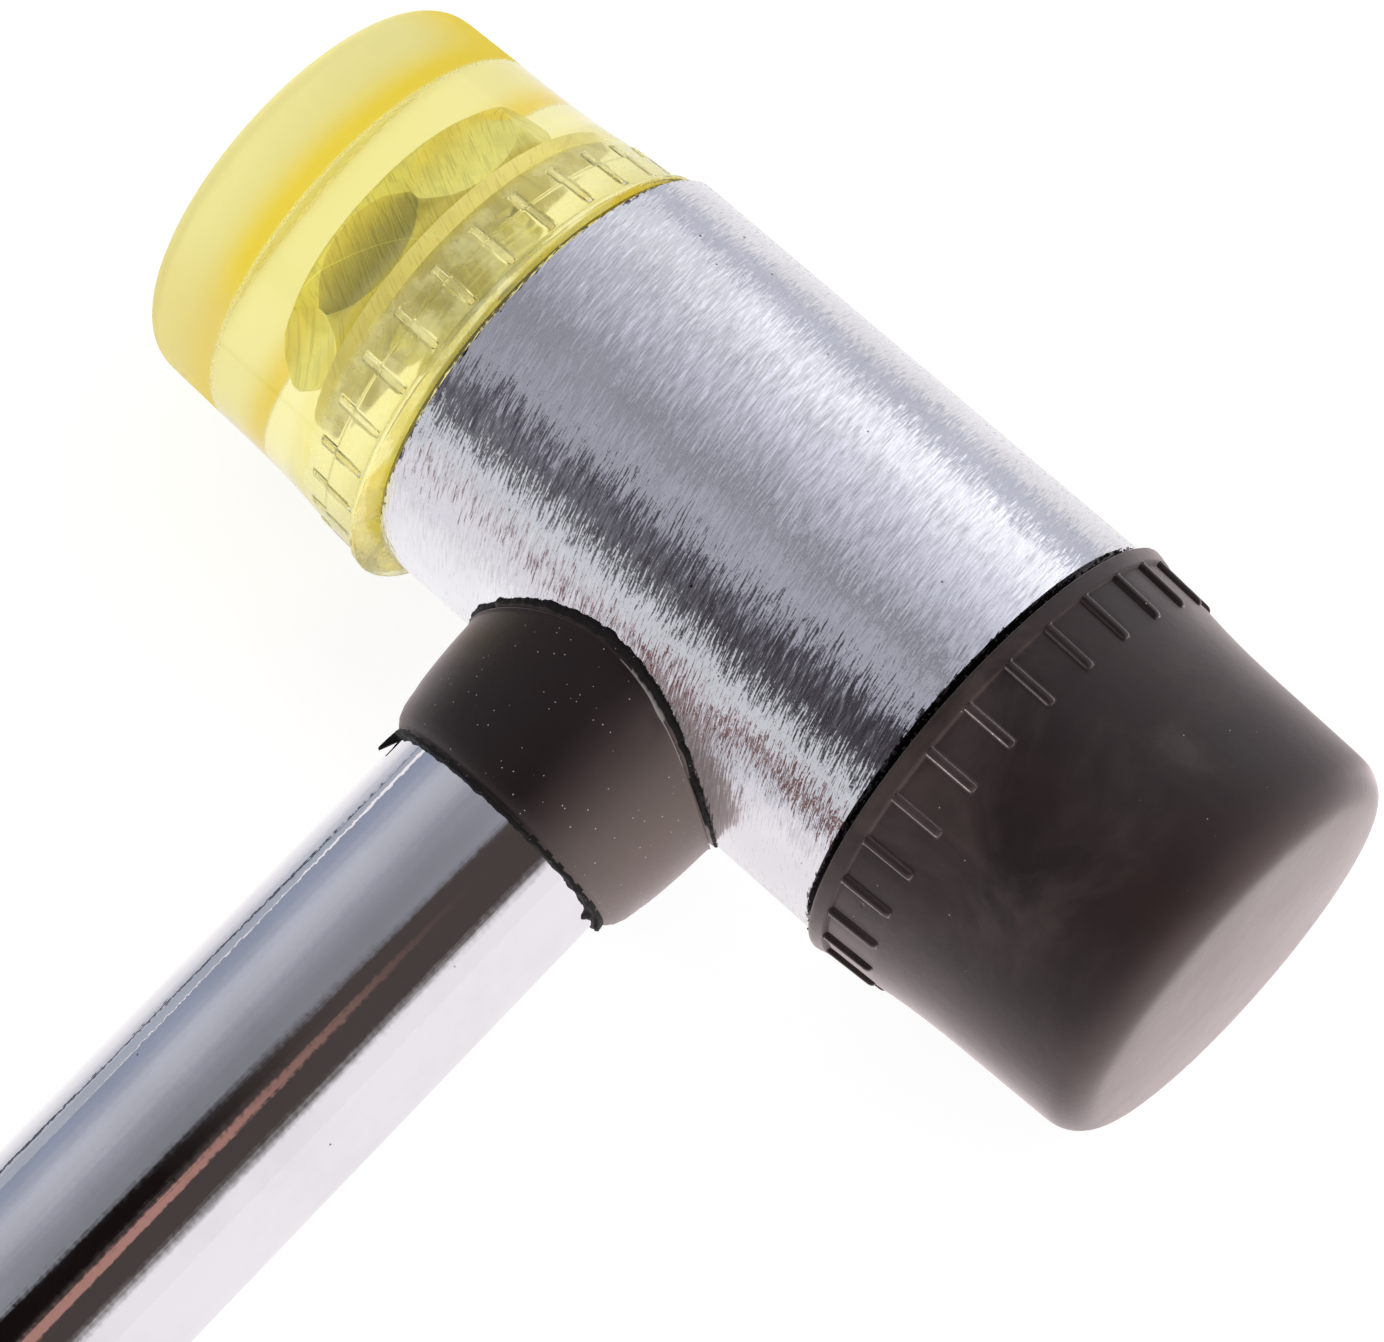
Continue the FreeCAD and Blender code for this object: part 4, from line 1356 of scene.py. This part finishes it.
BY_HANDLE = ((0.0, (0.90, 0.86, 0.88)), (0.05, (0.90, 0.86, 0.88)), (0.09, (0.98, 0.97, 0.98)),
             (0.13, (0.90, 0.88, 0.90)), (0.18, (0.81, 0.79, 0.82)), (0.275, (0.60, 0.60, 0.65)),
             (0.56, (0.37, 0.40, 0.47)), (1.0, (0.40, 0.42, 0.48)))
BEHIND_HEAD = ((0.05, (0.95, 0.94, 0.95)), (0.062, (0.89, 0.87, 0.89)),
               (0.103, (0.77, 0.76, 0.79)), (0.146, (0.58, 0.58, 0.64)),
               (0.25, (0.49, 0.51, 0.59)), (1.0, (0.67, 0.69, 0.77)))
SEAM = (0.05, 0.05, 0.07)                # a dark line in the sheet beside the handle
SEAM_SLANT = 0.8
PAINTED_CAUSTIC = (1.0, 0.88, 0.25)          # painted pool of yellow light that the clear face casts on the paper


def mirrored_sheet(tree, place):
    """The paper as metal mirrors it: its tone beside the handle and behind the head, a seam and
    the near edge."""
    x, y, _ = tree.split(place)
    by_handle = tree.step(y, HEAD.y + 15 * MM, HEAD.y)
    left = tree.times(tree.times(x, -5.0), by_handle)
    behind_head = tree.ramp(tree.times(tree.minus(y, HEAD.y), 2.0), BEHIND_HEAD)
    near_head = tree.between(x, (0.15, 0.05), (-0.27, -0.20))
    behind = tree.times(tree.step(by_handle, 1.0, 0.0), near_head)
    across_seam = tree.minus(tree.line(y, SEAM_SLANT, x), SEAM_SLANT * HEAD.y)
    seam = tree.between(across_seam, (-0.108, -0.111), (-0.123, -0.120))
    seam = tree.times(seam, tree.step(y, HEAD.y, HEAD.y - 0.02))
    before = tree.minus(HEAD.y, y)
    redder = tree.where_both(before, (0.22, 0.26), tree.line(before, 0.29, x), (0.002, 0.009))
    front = tree.where_both(before, (0.07, 0.10), x, (0.05, 0.0))
    return coated(tree, tree.ramp(left, BY_HANDLE), (behind, behind_head),
                  (tree.times(seam, 0.92), SEAM), (front, low_edge(tree, redder)))


def painted_caustic_on_paper(tree, place):
    """The paper as clear plastic shows it, with a painted pool of yellow light, the clear face's
    caustic, close to the face's end.
    """
    end_x = -FACE_BASE - FACE_LENGTH
    from_end = tree.vector("SUBTRACT", place, (end_x - 9 * MM, HEAD.y, 0.0))
    away = tree.add("ShaderNodeVectorMath", {0: from_end}, operation="LENGTH").outputs["Value"]
    tinted = tree.where_both(away, (30 * MM, 10 * MM),
                             tree.split(place)[0], (end_x + 0.2 * MM, end_x - 0.8 * MM))
    return tree.mixed(tinted, WHITE, PAINTED_CAUSTIC)


def floor_finish(studio):
    """Pale paper: white to the camera but for the shadow, with a near edge that metal mirrors."""
    material = bpy.data.materials.new("pale_paper")
    material.use_nodes = True
    tree = Tree(material.node_tree)
    place = tree.add("ShaderNodeTexCoord").outputs["Object"]
    mirrored = rays_that_see(tree, "Is Glossy Ray")
    through = rays_that_see(tree, "Is Transmission Ray")
    shown = tree.mixed(mirrored, (0.82, 0.82, 0.82), mirrored_sheet(tree, place))
    # clear plastic sees the painted caustic
    shown = tree.mixed(through, shown, painted_caustic_on_paper(tree, place))
    glow = tree.add("ShaderNodeEmission", {"Color": shown, "Strength": 1.0}).outputs[0]
    plain = tree.most(mirrored, through)
    soft = tree.add("ShaderNodeBsdfDiffuse", {
        "Color": tree.mixed(plain, (0.24, 0.235, 0.235), BLACK)}).outputs[0]
    paper = tree.add("ShaderNodeBsdfDiffuse", {"Color": tuple(studio.floor)}).outputs[0]
    both = tree.add("ShaderNodeAddShader", {0: glow, 1: soft}).outputs[0]
    seen = rays_that_see(tree, "Is Camera Ray", "Is Glossy Ray", "Is Transmission Ray")
    tree.add("ShaderNodeOutputMaterial", {"Surface": tree.blended(seen, paper, both)})
    return material


FLOOR_REACH = 3.0
FLOOR_GAP = 0.02 * MM                    # keeps the floor clear of the mallet's lowest points
LAMP_SIZE = 0.5
AIM = Vector((1.83 * MM, HEAD.y - 8.195 * MM, HEAD.z))   # what the camera looks at


def add_floor(studio):
    bm = bmesh.new()
    bmesh.ops.create_grid(bm, x_segments=2, y_segments=2, size=FLOOR_REACH)
    mesh = bpy.data.meshes.new("floor")
    bm.to_mesh(mesh)
    bm.free()
    mesh.materials.append(floor_finish(studio))
    floor = bpy.data.objects.new("floor", mesh)
    floor.location.z = -FLOOR_GAP
    bpy.context.scene.collection.objects.link(floor)


def add_lamp(name, offset, power):
    """A round lamp aimed at the floor under the head, unseen by mirrors and clear plastic."""
    lamp = bpy.data.lights.new(name, "AREA")
    lamp.shape = "DISK"
    lamp.size = LAMP_SIZE
    lamp.energy = power
    carrier = bpy.data.objects.new(name, lamp)
    carrier.location = Vector((0.0, HEAD.y, 0.0)) + offset
    carrier.rotation_euler = (-offset).to_track_quat("-Z", "Y").to_euler()
    carrier.visible_glossy = False
    carrier.visible_transmission = False
    bpy.context.scene.collection.objects.link(carrier)


class MALLET_OT_set_studio(bpy.types.Operator):
    """Lay the floor, and set the surroundings and the two lamps"""

    bl_idname = "mallet.set_studio"
    bl_label = "Studio"

    def execute(self, context):
        studio = context.scene.mallet_studio
        context.scene.view_settings.view_transform = "Standard"
        set_world(studio)
        add_floor(studio)
        add_lamp("soft_lamp", Vector((0.25, 0.45, 0.85)), studio.lamp_power)
        add_lamp("side_lamp", Vector((0.85, -0.35, 0.30)), studio.side_power)
        return {"FINISHED"}


class MALLET_OT_place_camera(bpy.types.Operator):
    """Place the camera above the head, looking down the handle's side"""

    bl_idname = "mallet.place_camera"
    bl_label = "Camera"

    def execute(self, context):
        studio = context.scene.mallet_studio
        azimuth, elevation = studio.camera_azimuth, studio.camera_elevation
        back = Vector((math.cos(elevation) * math.cos(azimuth),
                       math.cos(elevation) * math.sin(azimuth), math.sin(elevation)))
        level = Vector((0, 0, 1)).cross(back).normalized()
        right = Matrix.Rotation(studio.camera_roll, 3, back) @ level
        up = back.cross(right)
        camera = bpy.data.cameras.new("camera")
        camera.lens = studio.lens
        camera.sensor_width = 36.0
        camera.clip_start = 0.01
        carrier = bpy.data.objects.new("camera", camera)
        carrier.matrix_world = Matrix.Translation(AIM + back * studio.camera_distance) @ Matrix(
            (right, up, back)).transposed().to_4x4()
        context.scene.collection.objects.link(carrier)
        context.scene.camera = carrier
        return {"FINISHED"}


class MALLET_PT_builder(bpy.types.Panel):
    """Lists the steps that build the mallet"""

    bl_label = "Mallet"
    bl_space_type = "VIEW_3D"
    bl_region_type = "UI"
    bl_category = "Mallet"

    def draw(self, context):
        for operator in OPERATORS:
            self.layout.operator(operator.bl_idname)


SETTINGS = {"mallet_faces": MalletFaceSettings, "mallet_metal": MalletMetalSettings,
            "mallet_rubber": MalletRubberSettings, "mallet_grip": MalletGripSettings,
            "mallet_studio": MalletStudioSettings}
OPERATORS = (MALLET_OT_finish_barrel, MALLET_OT_finish_handle, MALLET_OT_model_grip,
             MALLET_OT_model_collar, MALLET_OT_model_faces, MALLET_OT_model_fixings,
             MALLET_OT_set_studio, MALLET_OT_place_camera)
CLASSES = (*SETTINGS.values(), *OPERATORS, MALLET_PT_builder)


def register():
    for cls in CLASSES:
        bpy.utils.register_class(cls)
    for name, cls in SETTINGS.items():
        setattr(bpy.types.Scene, name, PointerProperty(type=cls))


def unregister():
    for name in SETTINGS:
        delattr(bpy.types.Scene, name)
    for cls in reversed(CLASSES):
        bpy.utils.unregister_class(cls)


def main():
    register()
    for step in (bpy.ops.mallet.finish_barrel, bpy.ops.mallet.finish_handle,
                 bpy.ops.mallet.model_grip, bpy.ops.mallet.model_collar, bpy.ops.mallet.model_faces,
                 bpy.ops.mallet.model_fixings, bpy.ops.mallet.set_studio,
                 bpy.ops.mallet.place_camera):
        step()


if __name__ == "__main__":
    main()
